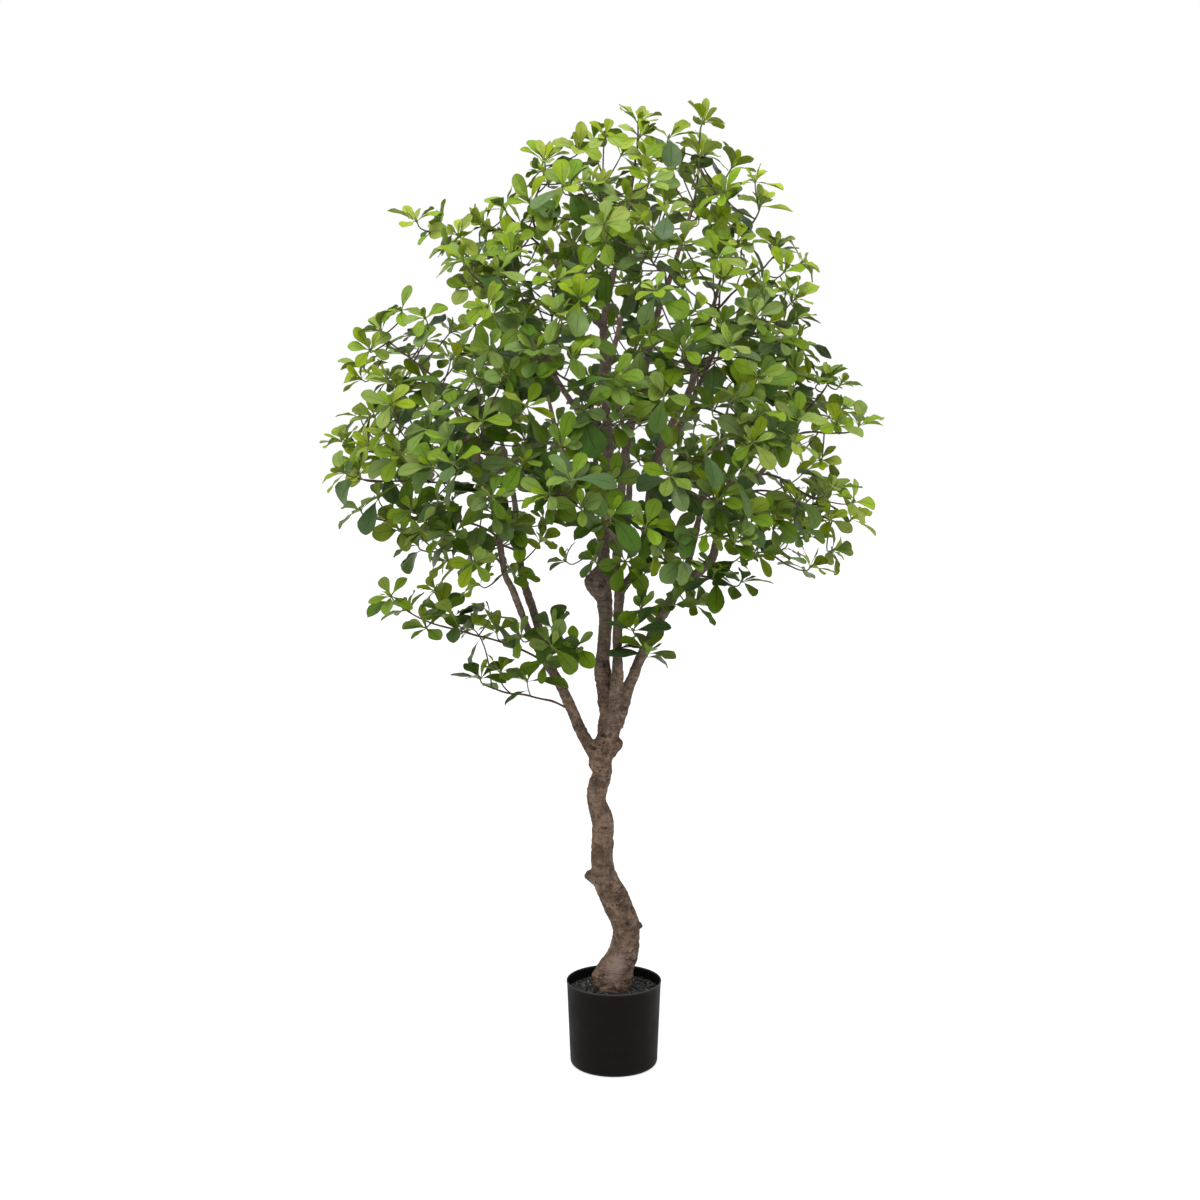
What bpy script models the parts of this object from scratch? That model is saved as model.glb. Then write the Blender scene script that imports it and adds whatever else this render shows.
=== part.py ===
"""A potted aralia: a small indoor tree 1.8 m tall, in a black nursery pot.

The pieces are the pot, the soil that fills it, the trunk with its limbs, and the leafy stems
that the limbs carry. A leafy stem is a thin woody stem with a side shoot, and each of the two
ends in a clump of spoon-shaped leaves. It is one solid, and it is seated on its limb.

Lengths in the tables are millimetres, and MM turns them into Blender's metres. The origin is
the middle of the pot's underside, +Z is up and -Y is the side that the tree shows.
"""

import math
import random

import bmesh
import bpy
from mathutils import Vector
from mathutils.bvhtree import BVHTree

MM = 0.001

# Driving dimensions of the pot and the soil
POT_HEIGHT = 163 * MM
POT_RIM_RADIUS = 90 * MM
POT_FOOT_RADIUS = 83 * MM
POT_FOOT_ROUND = 7 * MM
POT_WALL = 2.6 * MM
POT_LIP = 0.8 * MM
POT_FLOOR = 3.5 * MM
SOIL_DEPTH_BELOW_RIM = 20 * MM
SOIL_MOUND = 3 * MM
SOIL_FLAT_SHARE = 0.55
SEAT_GAP = 0.3 * MM
TURNED_STEPS = 34

# Driving dimensions of the leaves
BLADE_THICKNESS = 0.8 * MM
HUB_RADIUS = 2.6 * MM
HUB_SLOTS = 5
STALK_SHARE = 0.12
STALK_HALF_WIDTH = 1.1 * MM
SMALL_LEAF = (52 * MM, 28 * MM)
LARGE_LEAF = (76 * MM, 40 * MM)
LEAF_WIDEST = 0.66
BLADE_SHARES = (0.0, 0.68, 1.0)
TIP_SHARE_OF_WIDTH = 0.42
BLADE_KEPT_APART = 1.0 * MM
# What a leaf tries, in degrees of lift and of swing, to stand clear of its neighbours.
LEAF_BENDS = ((0, 0), (14, 0), (-14, 0), (0, 8), (0, -8), (26, 0), (-26, 0), (38, 5))

# Driving dimensions of the stems and shoots
STEM_RADIUS = (2.5 * MM, 1.5 * MM)
STEM_STEPS = (0, 0.32, 0.66, 1)
SHOOT_RADIUS = (0.9 * MM, 1.2 * MM)
SHOOT_REACH = (58 * MM, 92 * MM)
SHOOT_SHARES = (0.55, 0.85)
SHOOT_TRIES = 80
STEM_TRIES = 24
CLUMP_SPACING = 60 * MM
NECK = 9 * MM
STRAIGHT_ROOT = 7 * MM
SEAT_SEARCH = 30 * MM
LIMB_KEPT_CLEAR = 2 * MM
END_CLUMP = {"leaves": 5, "large": 0}
SIDE_CLUMP = {"leaves": 4, "large": 1}
SEED = 23

# Each limb is a route of (x, y, z, radius), from inside what it grows from to its thin end.
LIMBS = {
    "bole": (
        (-4, 0, 42, 33), (-4, 0, 128, 34), (-4, 0, 150, 36), (6, 0, 185, 33), (19, -2, 216, 28),
        (23, -4, 246, 26.5), (21, -5, 274, 26.5), (11, -4, 302, 27), (-3, -2, 330, 27),
        (-17, 2, 360, 24), (-22, 5, 386, 21.5), (-22, 6, 425, 21), (-21, 5, 464, 20.5),
        (-29, 2, 493, 19), (-33, -2, 513, 18), (-30, -4, 538, 19.5), (-22, -2, 561, 18.5),
        (-25, 0, 582, 22), (-22, 0, 604, 24), (-12, 0, 628, 21), (-8, -1, 654, 22.5),
        (-5, -1, 674, 21.5), (-3, -1, 692, 16),
    ),
    "left": (
        (-26, 0, 585, 14), (-43, -2, 607, 13), (-61, -4, 640, 11.3), (-73, -7, 668, 10.8),
        (-98, -16, 726, 10), (-126, -23, 777, 10), (-142, -26, 806, 9.5),
    ),
    "left_outer": (
        (-136, -25, 796, 8), (-158, -32, 834, 7), (-184, -46, 905, 6.8), (-200, -54, 941, 6.4),
        (-208, -63, 995, 6), (-215, -70, 1047, 5.6), (-241, -82, 1136, 5), (-285, -96, 1240, 3.5),
    ),
    "left_inner": (
        (-134, -22, 792, 9), (-140, -8, 834, 8.6), (-164, 15, 905, 8), (-175, 30, 945, 7.5),
        (-182, 60, 1020, 6.5), (-195, 95, 1100, 5.5), (-225, 135, 1220, 3.5),
    ),
    "leader": (
        (-8, 2, 655, 17), (-17, 4, 692, 13.5), (-18.5, 6, 714, 13.5), (-21.5, 8, 745, 16.5),
        (-21.5, 12, 773, 14), (-18, 15, 808, 12.8), (-16, 17, 850, 13.4), (-18, 18, 888, 15),
        (-20, 18, 914, 15.5), (-21, 19, 944, 13), (-19, 20, 977, 11),
        (-14, 24, 1060, 10), (-10, 26, 1153, 9.5), (-16, 22, 1250, 8.5), (-20, 18, 1352, 7.5),
        (-18, 14, 1410, 6.5), (0, 8, 1490, 5), (20, 0, 1570, 4), (30, -6, 1630, 3.2),
    ),
    "middle": (
        (-2, -4, 662, 15), (2.5, -10, 704, 13), (5.5, -14, 748, 12.2), (6, -16, 778, 9.8),
        (6, -19, 826, 9.3), (8, -23, 872, 9.4), (10, -26, 915, 10),
    ),
    "middle_left": (
        (10, -25, 905, 9), (4, -34, 950, 8.4), (6, -39, 1010, 8), (12, -41, 1080, 8),
        (20, -43, 1165, 8), (45, -46, 1270, 7.2), (58, -46, 1324, 6.8), (82, -44, 1428, 6),
        (100, -40, 1475, 5), (140, -25, 1600, 3.4),
    ),
    "middle_right": (
        (9, -24, 900, 8), (30, -18, 932, 7.5), (48, -6, 962, 7.2), (60, 12, 1020, 7.2),
        (66, 30, 1085, 7.2), (76, 46, 1140, 7.4), (97, 60, 1192, 7.4), (142, 80, 1276, 7),
        (153, 88, 1317, 6.4), (170, 96, 1370, 5.4), (200, 110, 1480, 3.4),
    ),
    "right": (
        (2, -2, 652, 16), (15, -4, 690, 13.5), (26, -5, 722, 11), (37, -7, 750, 10.6),
        (48, -9, 777, 9.9), (77, -18, 840, 9.5), (94, -24, 871, 10), (120, -33, 912, 9.6),
        (174, -44, 962, 8.5), (187, -48, 1002, 8), (202, -50, 1034, 7), (250, -48, 1105, 5.4),
        (290, -44, 1153, 4.6), (345, -36, 1230, 3.4),
    ),
    "back": (
        (-18, 17, 872, 9), (-10, 46, 915, 8), (5, 80, 960, 7.5), (20, 120, 1010, 7),
        (30, 160, 1070, 6.4), (28, 205, 1150, 5.4), (10, 255, 1265, 3.6),
    ),
    "back_left": (
        (-18, 21, 985, 8), (-40, 48, 1035, 7), (-70, 82, 1092, 6.2), (-105, 130, 1180, 5.2),
        (-130, 180, 1280, 3.6),
    ),
    "back_right": (
        (118, -33, 905, 8), (135, -5, 950, 7), (152, 38, 1005, 6.5), (167, 82, 1060, 6),
        (205, 155, 1170, 4.6), (222, 190, 1240, 3.4),
    ),
    "front": (
        (7, -38, 990, 7.5), (-5, -62, 1024, 6.8), (-20, -97, 1065, 6.2), (-32, -132, 1115, 5.4),
        (-36, -190, 1220, 3.6),
    ),
    "front_left": (
        (-11, 25, 1150, 7), (-34, -2, 1192, 6.2), (-68, -32, 1238, 5.6), (-104, -62, 1292, 5),
        (-165, -100, 1400, 3.4),
    ),
    "front_right": (
        (70, 42, 1120, 6.6), (94, 16, 1160, 6.2), (120, -22, 1210, 5.6), (146, -66, 1268, 5),
        (190, -135, 1375, 3.4),
    ),
    "high_back": (
        (-18, 19, 1290, 7), (-9, 52, 1332, 6), (6, 88, 1378, 5.4), (30, 150, 1490, 3.6),
    ),
    "high_left": (
        (-19, 15, 1385, 6), (-48, 9, 1422, 5.2), (-84, 4, 1466, 4.6), (-140, -5, 1560, 3.4),
    ),
}

# Cut branch stubs and knots of the trunk, as routes of (x, y, z, radius).
STUBS = (
    ((-14, 2, 345, 17), (-38, 0, 361, 12), (-50, -1, 367, 9.5), (-54, -1, 369, 6)),
    ((20, -5, 262, 14), (43, -8, 268, 8), (53, -9, 272, 5)),
    ((-10, 0, 602, 15), (5, -2, 615, 11), (11, -3, 622, 8.5), (14, -3, 625, 4.5)),
    ((-20, 18, 918, 15), (-34, 16, 919, 14), (-42, 15, 918, 10), (-46, 15, 918, 5)),
    ((4, -8, 679, 15), (15, -11, 686, 13), (20, -12, 690, 8)),
    ((-20, 4, 446, 16), (-12, -14, 452, 10), (-9, -20, 455, 7)),
)
LIMB_ROUNDNESS = {"bole": 3, "left": 2, "leader": 2, "middle": 2, "right": 2}

# Each leafy stem: the limb that carries it, the share of the limb's length where it leaves, and
# the place of its end clump. Where the side clump's place is known too, it follows the share of
# the stem's length where its shoot leaves.
STEMS = (
    # The top of the crown
    ("middle_left", 1.00, (159, -20, 1752), 0.60, (96, -38, 1722)),
    ("leader", 1.00, (43, 10, 1756)),
    ("high_back", 1.00, (-40, 110, 1742)),
    ("high_left", 1.00, (-126, -10, 1685)),
    ("middle_left", 0.90, (213, 0, 1676), 0.70, (152, -46, 1688)),
    ("middle_right", 1.00, (263, -20, 1604)),
    ("high_left", 0.72, (-196, -60, 1594)),
    ("leader", 0.90, (-26, -150, 1622)),
    ("high_back", 0.70, (105, 190, 1640)),
    # The left side
    ("front_left", 1.00, (-312, -60, 1558), 0.55, (-270, -80, 1500)),
    ("front_left", 0.86, (-215, -160, 1450)),
    ("left_outer", 1.00, (-422, -40, 1380)),
    ("left_inner", 1.00, (-465, 35, 1318)),
    ("left_outer", 0.86, (-385, -125, 1217)),
    ("left_inner", 0.80, (-499, 20, 1180)),
    ("left_outer", 0.62, (-488, -60, 1125)),
    ("left_outer", 0.48, (-466, -20, 1055)),
    ("left_outer", 0.36, (-279, -170, 1024)),
    ("left_inner", 0.42, (-372, 75, 985)),
    ("left", 0.82, (-379, -25, 871), 0.55, (-295, -45, 862)),
    ("left", 0.42, (-248, -30, 744), 0.45, (-161, -42, 741)),
    ("left", 0.95, (-112, -78, 842)),
    # The right side
    ("middle_right", 0.88, (296, 30, 1528)),
    ("front_right", 1.00, (326, -60, 1402)),
    ("middle_right", 0.74, (344, 80, 1345)),
    ("right", 1.00, (389, -20, 1294), 0.40, (318, -66, 1256)),
    ("right", 0.92, (452, 10, 1211)),
    ("right", 0.80, (375, -95, 1085)),
    ("right", 0.74, (443, 25, 1037)),
    ("right", 0.60, (362, -15, 950), 0.50, (322, 0, 998)),
    ("right", 0.47, (231, -60, 927), 0.60, (181, -82, 946)),
    ("right", 0.33, (60, -60, 796), 0.50, (34, -68, 838)),
    # The front
    ("middle_left", 0.78, (62, -215, 1500)),
    ("front_left", 0.62, (-100, -240, 1450)),
    ("front_right", 0.82, (182, -235, 1450)),
    ("front", 1.00, (-134, -320, 1330)),
    ("front_right", 0.60, (110, -330, 1330)),
    ("front", 0.86, (0, -345, 1225)),
    ("front_right", 0.45, (238, -280, 1225)),
    ("left_outer", 0.74, (-225, -300, 1215)),
    ("front", 0.66, (-110, -330, 1095)),
    ("front", 0.50, (50, -300, 1040)),
    ("right", 0.66, (170, -290, 1085)),
    # The back
    ("high_back", 0.55, (-60, 270, 1560)),
    ("back", 1.00, (60, 380, 1400)),
    ("back_left", 1.00, (-200, 310, 1400)),
    ("back_right", 1.00, (270, 290, 1350)),
    ("back", 0.82, (-60, 410, 1220)),
    ("back_left", 0.66, (-250, 280, 1130)),
    ("back_right", 0.76, (170, 360, 1150)),
    ("back_right", 0.60, (340, 220, 1080)),
)

# The crown's outline at some heights: height, least x, greatest x and half its depth along y.
CROWN_OUTLINE = (
    (700, -220, 60, 80), (800, -380, 110, 150), (950, -420, 370, 300), (1050, -470, 440, 380),
    (1200, -500, 450, 420), (1400, -425, 345, 390), (1600, -310, 265, 270), (1715, -140, 180, 150),
)
# The outline of its bays and boughs round the clumps, as x and height on the plane y = 0, where
# it is seen from the viewpoint.
VIEWPOINT = (-26, -3085, 1190)
CROWN_FRONT = (
    (-307, 1561), (-236, 1573), (-172, 1609), (-146, 1692), (-99, 1689), (-63, 1707), (-44, 1733),
    (46, 1753), (82, 1749), (126, 1728), (176, 1751), (184, 1698), (231, 1671), (250, 1644),
    (243, 1596), (305, 1532), (321, 1465), (335, 1357), (350, 1326), (392, 1297), (448, 1248),
    (408, 1211), (379, 1147), (391, 1101), (441, 1070), (399, 1036), (389, 977), (344, 992),
    (298, 975), (243, 962), (160, 906), (108, 878), (67, 813), (44, 822), (70, 906), (57, 962),
    (11, 977), (-26, 975), (-63, 966), (-100, 990), (-137, 997), (-184, 981), (-230, 962),
    (-251, 916), (-238, 859), (-175, 816), (-110, 837), (-90, 805), (-129, 771), (-146, 741),
    (-213, 752), (-254, 775), (-278, 831), (-324, 850), (-370, 876), (-324, 897), (-308, 962),
    (-332, 994), (-397, 1018), (-424, 1040), (-480, 1040), (-473, 1110), (-506, 1165),
    (-496, 1211), (-464, 1257), (-472, 1302), (-448, 1348), (-433, 1393), (-392, 1409),
    (-346, 1406), (-301, 1380), (-255, 1393), (-240, 1438), (-264, 1474), (-300, 1510),
)

COLOURS = {
    "black_plastic": ((0.012, 0.012, 0.013), 0.55),
    "dark_soil": ((0.014, 0.013, 0.012), 0.9),
    "bark": ((0.16, 0.105, 0.075), 0.75),
    "leaf": ((0.14, 0.30, 0.03), 0.45),
}


# Routes and curves


def metres(route):
    """The route's knots in metres, as vectors of x, y, z and radius."""
    return [Vector(knot) * MM for knot in route]


def along(knots, share):
    """The place, direction and radius at a share of a route's length."""
    lengths = [(b.xyz - a.xyz).length for a, b in zip(knots, knots[1:])]
    left = share * sum(lengths)
    for a, b, length in zip(knots, knots[1:], lengths):
        if left <= length or b is knots[-1]:
            spot = a.lerp(b, min(1.0, left / length))
            return spot.xyz, (b.xyz - a.xyz).normalized(), spot[3]
        left -= length
    return None


def bezier(ends, handles, share):
    """A point of the cubic curve between two ends with two handles."""
    (a, d), (b, c), t, s = ends, handles, share, 1 - share
    return a * s**3 + b * 3 * s * s * t + c * 3 * s * t * t + d * t**3


def across(direction, near):
    """The part of near that is square to direction, with length 1."""
    return (near - direction * near.dot(direction)).normalized()


# Shapes that only tell whether there is room


def prism(points, radii, sides=5):
    """A closed tube of flat sides round a row of points, as corners and triangles."""
    corners, faces = [], []
    for i, (point, radius) in enumerate(zip(points, radii)):
        ahead = points[min(i + 1, len(points) - 1)] - points[max(i - 1, 0)]
        ahead.normalize()
        side = across(ahead, Vector((0.31, 0.87, 0.38)))
        other = ahead.cross(side)
        for k in range(sides):
            turn = math.tau * k / sides
            corners.append(point + (side * math.cos(turn) + other * math.sin(turn)) * radius)
        if i:
            for k in range(sides):
                a, b = (i - 1) * sides + k, (i - 1) * sides + (k + 1) % sides
                faces += [(a, b, b + sides), (a, b + sides, a + sides)]
    last = len(corners) - sides
    for k in range(1, sides - 1):
        faces += [(0, k + 1, k), (last, last + k, last + k + 1)]
    return corners, faces


def thick_blade(stations):
    """A blade's box, BLADE_KEPT_APART above and below each of its stations."""
    corners, faces = [], []
    for i, (centre, side, up, half) in enumerate(stations):
        for across_it, above in ((-1, -1), (1, -1), (1, 1), (-1, 1)):
            corners.append(centre + side * half * across_it + up * BLADE_KEPT_APART * above)
        if i:
            for k in range(4):
                a, b = (i - 1) * 4 + k, (i - 1) * 4 + (k + 1) % 4
                faces += [(a, b, b + 4), (a, b + 4, a + 4)]
    last = len(corners) - 4
    faces += [(0, 2, 1), (0, 3, 2), (last, last + 1, last + 2), (last, last + 2, last + 3)]
    return corners, faces


class Room:
    """What already stands in the crown. A shape is clear if it crosses nothing of another owner,
    and, where it has an outer part, if that crosses no outer part of its own owner."""

    def __init__(self):
        self.things = []

    def measured(self, shape):
        corners, faces = shape
        centre = sum(corners, Vector((0, 0, 0))) / len(corners)
        reach = max((corner - centre).length for corner in corners)
        return centre, reach, BVHTree.FromPolygons(corners, faces)

    def is_clear(self, owner, whole, outer=None):
        mine = self.measured(whole)
        mine_outer = self.measured(outer) if outer else None
        for other, theirs, theirs_outer in self.things:
            if (mine[0] - theirs[0]).length > mine[1] + theirs[1]:
                continue
            if other == owner:
                if mine_outer and theirs_outer and mine_outer[2].overlap(theirs_outer[2]):
                    return False
            elif mine[2].overlap(theirs[2]):
                return False
        return True

    def add(self, owner, whole, outer=None):
        self.things.append((owner, self.measured(whole), self.measured(outer) if outer else None))


# How the crown grows


def leaving_way(limb, share, end, sway):
    """A stem at the tip of a limb carries straight on, and one at its side leans to its end."""
    start, limb_way, _ = along(limb, share)
    if share == 1:
        return limb_way
    return (limb_way * 0.75 + (end - start).normalized() + sway).normalized()


def stem_route(limb, share, end, axis, sway):
    """Points from the limb's middle to just below the end clump, arching out and up."""
    start, _, _ = along(limb, share)
    leave = leaving_way(limb, share, end, sway)
    outward = (end - start).normalized()
    reach = (end - start).length
    neck = end - axis * NECK
    handles = (start + leave * reach * 0.38, neck - (outward + axis * 0.4).normalized() * reach * 0.3)
    return [bezier((start, neck), handles, step) for step in STEM_STEPS] + [end]


def tapered(count, radii):
    return [radii[0] + (radii[1] - radii[0]) * i / (count - 1) for i in range(count)]


def seen_from_front(place):
    """Where a place seems to lie on the plane y = 0: its x and height in millimetres."""
    eye = Vector(VIEWPOINT) * MM
    seen = eye + (place - eye) * (eye.y / (eye.y - place.y))
    return seen.x / MM, seen.z / MM


def inside(spot, outline):
    """Whether a spot lies inside an outline, by counting the sides to the right of it."""
    x, z = spot
    crossed = 0
    for (x1, z1), (x2, z2) in zip(outline, outline[1:] + outline[:1]):
        if (z1 > z) != (z2 > z) and x < x1 + (z - z1) * (x2 - x1) / (z2 - z1):
            crossed += 1
    return crossed % 2 == 1


def in_crown(place):
    """Whether a clump here would lie inside the crown's outlines."""
    if not inside(seen_from_front(place), CROWN_FRONT):
        return False
    x, y, z = place / MM
    for (low, *below), (high, *above) in zip(CROWN_OUTLINE, CROWN_OUTLINE[1:]):
        if low <= z <= high:
            part = (z - low) / (high - low)
            left, right, depth = (a + (b - a) * part for a, b in zip(below, above))
            middle, half = (left + right) / 2, (right - left) / 2
            return ((x - middle) / half) ** 2 + (y / depth) ** 2 <= 1
    return False


def clump_axis(rng, centre, heading):
    """Clumps look up, outward and a little to the front, each its own way."""
    away = Vector((centre.x, centre.y, 0)).normalized() * 0.32
    loose = Vector((rng.uniform(-0.45, 0.45), rng.uniform(-0.45, 0.45), rng.uniform(-0.2, 0.3)))
    return (heading * 0.25 + away + Vector((0, -0.2, 0.9)) + loose).normalized()


def leaf_draws(rng, kind):
    """One entry for each leaf round the hub: its slot, turn, rise, size, droop and twist."""
    leaves = []
    for slot in range(kind["leaves"]):
        large = slot < kind["large"]
        length, width = LARGE_LEAF if large else SMALL_LEAF
        scale = rng.uniform(0.86, 1.14)
        leaves.append({
            "slot": slot,
            "turn": math.tau * (slot + 0.5) / HUB_SLOTS + rng.uniform(-0.16, 0.16),
            "rise": math.radians(rng.uniform(-12, 14) if large else rng.uniform(16, 58)),
            "length": length * scale,
            "width": width * scale * rng.uniform(0.82, 1.1),
            "droop": rng.uniform(0.3, 1.05),
            "twist": rng.uniform(-0.35, 0.35),
            "large": large,
        })
    return leaves


def hub_frame(clump):
    """Two directions in the plane of a clump's hub, from its axis and roll."""
    side = across(clump["axis"], Vector((0.8, 0.3, -0.52)))
    other = clump["axis"].cross(side)
    roll = clump["roll"]
    first = side * math.cos(roll) + other * math.sin(roll)
    return first, clump["axis"].cross(first)


def half_width(leaf, share):
    """Half the blade's width at a share of its length: narrow stalk, spoon-shaped blade."""
    if share <= STALK_SHARE:
        return STALK_HALF_WIDTH
    blade_share = (share - STALK_SHARE) / (1 - STALK_SHARE)
    widest = (LEAF_WIDEST - STALK_SHARE) / (1 - STALK_SHARE)
    bend = math.log(0.5) / math.log(widest)
    spoon = leaf["width"] / 2 * math.sin(math.pi * blade_share**bend) ** 0.72
    return max(STALK_HALF_WIDTH * (1 - blade_share), spoon)


def blade_station(clump, leaf, share):
    """Centre, side, upward direction and half width of the blade at a share of its length."""
    first, second = hub_frame(clump)
    outward = first * math.cos(leaf["turn"]) + second * math.sin(leaf["turn"])
    axis, rise, droop = clump["axis"], leaf["rise"], leaf["droop"]
    now = rise - droop * share
    run = (math.sin(rise) - math.sin(now)) / droop
    climb = (math.cos(now) - math.cos(rise)) / droop
    root = clump["centre"] + outward * HUB_RADIUS * math.cos(math.pi / HUB_SLOTS)
    centre = root + (outward * run + axis * climb) * leaf["length"]
    ahead = outward * math.cos(now) + axis * math.sin(now)
    level = axis.cross(outward)
    up = ahead.cross(level) * -1
    turn = leaf["twist"] * share
    side = level * math.cos(turn) + up * math.sin(turn)
    return centre, side, side.cross(ahead) * -1, half_width(leaf, share)


def plain_stations(clump, leaf):
    """The few stations of the solid blade: its root, its widest place and its blunt tip."""
    stations = [blade_station(clump, leaf, share) for share in BLADE_SHARES]
    centre, side, up, _ = stations[-1]
    return stations[:-1] + [(centre, side, up, leaf["width"] / 2 * TIP_SHARE_OF_WIDTH)]


def outer_part(stations):
    """The stations with the first moved out along the blade, clear of the crowded hub."""
    (a, side, up, wide), (b, _, _, wider) = stations[0], stations[1]
    moved = 0.55
    return [(a.lerp(b, moved), side, up, wide + (wider - wide) * moved)] + stations[1:]


def settle_leaves(room, owner, clump):
    """Bends each leaf clear of what is there. One that finds no room isn't solid."""
    for leaf in clump["leaves"]:
        rise, turn = leaf["rise"], leaf["turn"]
        leaf["solid"] = False
        for lift, swing in LEAF_BENDS:
            leaf["rise"] = rise + math.radians(lift)
            leaf["turn"] = turn + math.radians(swing)
            stations = plain_stations(clump, leaf)
            shapes = thick_blade(stations), thick_blade(outer_part(stations))
            if room.is_clear(owner, *shapes):
                room.add(owner, *shapes)
                leaf["solid"] = True
                break
        else:
            leaf["rise"], leaf["turn"] = rise, turn


def make_clump(rng, centre, axis, kind):
    return {
        "centre": centre,
        "axis": axis,
        "roll": rng.uniform(0, math.tau),
        "leaves": leaf_draws(rng, kind),
    }


def grow_stems(rng, room, limbs):
    """One leafy stem for each row of STEMS, swayed aside where it would cross another."""
    stems = []
    for number, (limb, share, end, *_) in enumerate(STEMS):
        end = Vector(end) * MM
        start, _, _ = along(limbs[limb], share)
        axis = clump_axis(rng, end, (end - start).normalized())
        for attempt in range(STEM_TRIES):
            wide = 0.12 * attempt
            sway = Vector([rng.uniform(-wide, wide) for _ in range(3)])
            route = stem_route(limbs[limb], share, end, axis, sway)
            radii = [radius + BLADE_KEPT_APART for radius in tapered(len(route), STEM_RADIUS)]
            free = prism(route[1:], radii[1:])
            if room.is_clear(number, free):
                break
        room.add(number, free)
        stems.append({
            "route": route,
            "leave": leaving_way(limbs[limb], share, end, sway),
            "shoots": [],
            "clumps": [make_clump(rng, end, axis, END_CLUMP)],
        })
    return stems


def grow_shoots(rng, room, stems):
    """One side shoot for each stem: to the place in its row, or else to the first place tried
    that has room for its clump."""
    centres = [stem["clumps"][0]["centre"] for stem in stems]
    for number, stem in enumerate(stems):
        known = STEMS[number][3:]
        knots = [point.to_4d() for point in stem["route"]]
        for attempt in range(SHOOT_TRIES):
            start, way, _ = along(knots, known[0] if known else rng.uniform(*SHOOT_SHARES))
            up = across(way, Vector((0, 0, 1)))
            turn = rng.uniform(-1.3, 1.3)
            side = up * math.cos(turn) + way.cross(up) * math.sin(turn)
            centre = start + (way * 0.62 + side * 0.78).normalized() * rng.uniform(*SHOOT_REACH)
            if known:
                centre = Vector(known[1]) * MM
            nearest = min((centre - other).length for other in centres)
            axis = clump_axis(rng, centre, (centre - start).normalized())
            route = [start, centre - axis * NECK, centre]
            radii = [radius + BLADE_KEPT_APART for radius in tapered(len(route), SHOOT_RADIUS)]
            shape = prism(route, radii)
            fits = known or nearest > CLUMP_SPACING and in_crown(centre)
            if fits and room.is_clear(number, shape):
                room.add(number, shape)
                centres.append(centre)
                stem["shoots"].append(route)
                stem["clumps"].append(make_clump(rng, centre, axis, SIDE_CLUMP))
                break


def grow_crown():
    """Every leafy stem, with its shoots and clumps, and which of its leaves are solid."""
    rng = random.Random(SEED)
    room = Room()
    limbs = {name: metres(route) for name, route in LIMBS.items()}
    for route in limbs.values():
        radii = [knot[3] + LIMB_KEPT_CLEAR for knot in route]
        room.add("trunk", prism([knot.xyz for knot in route], radii, 8))
    stems = grow_stems(rng, room, limbs)
    grow_shoots(rng, room, stems)
    for number, stem in enumerate(stems):
        for clump in stem["clumps"]:
            settle_leaves(room, number, clump)
    return stems


# Building the pieces


def clear_scene():
    for thing in list(bpy.data.objects):
        bpy.data.objects.remove(thing)


def make_material(name):
    colour, roughness = COLOURS[name]
    material = bpy.data.materials.new(name)
    material.use_nodes = True
    shader = material.node_tree.nodes["Principled BSDF"]
    shader.inputs["Base Color"].default_value = (*colour, 1)
    shader.inputs["Roughness"].default_value = roughness
    shader.inputs["Metallic"].default_value = 0
    return material


def link(name, mesh, collection, material=None):
    piece = bpy.data.objects.new(name, mesh)
    collection.objects.link(piece)
    if material:
        mesh.materials.clear()
        mesh.materials.append(material)
    return piece


def evaluated_mesh(piece):
    """The piece's mesh as Blender evaluates it, welded, in place of the piece, which goes."""
    bpy.context.view_layer.update()
    graph = bpy.context.evaluated_depsgraph_get()
    mesh = bpy.data.meshes.new_from_object(piece.evaluated_get(graph))
    mesh.transform(piece.matrix_world)
    bpy.data.objects.remove(piece)
    shape = bmesh.new()
    shape.from_mesh(mesh)
    bmesh.ops.remove_doubles(shape, verts=shape.verts, dist=0.01 * MM)
    shape.to_mesh(mesh)
    shape.free()
    return mesh


def tube(points, radii, collection, roundness=0):
    """A tapered tube through the points, as a welded mesh. Roundness 0 gives it 4 sides."""
    curve = bpy.data.curves.new("tube", "CURVE")
    curve.dimensions = "3D"
    curve.bevel_depth = 1
    curve.bevel_resolution = roundness
    curve.use_fill_caps = True
    line = curve.splines.new("POLY")
    line.points.add(len(points) - 1)
    for knot, point, radius in zip(line.points, points, radii):
        knot.co = (*point, 1)
        knot.radius = radius
    return link("tube", evaluated_mesh(link("tube", curve, collection)), collection)


def fused(name, first, others, target, material):
    """One solid from a first mesh object and a collection of others, which are used up."""
    if others.objects:
        union = first.modifiers.new("union", "BOOLEAN")
        union.operation = "UNION"
        union.operand_type = "COLLECTION"
        union.collection = others
        union.solver = "EXACT"
    piece = link(name, evaluated_mesh(first), target, material)
    for other in list(others.objects):
        bpy.data.objects.remove(other)
    return piece


def turned(name, profile, collection, material):
    """A profile of (radius, height) pairs turned once round Z."""
    mesh = bpy.data.meshes.new(name)
    edges = [(i, i + 1) for i in range(len(profile) - 1)]
    mesh.from_pydata([(radius, 0, height) for radius, height in profile], edges, [])
    piece = link(name, mesh, collection)
    screw = piece.modifiers.new("turn", "SCREW")
    screw.steps = screw.render_steps = TURNED_STEPS
    screw.use_merge_vertices = True
    screw.merge_threshold = 0.01 * MM
    mesh = evaluated_mesh(piece)
    mesh.set_sharp_from_angle(angle=math.radians(40))
    mesh.shade_smooth()
    return link(name, mesh, collection, material)


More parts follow.
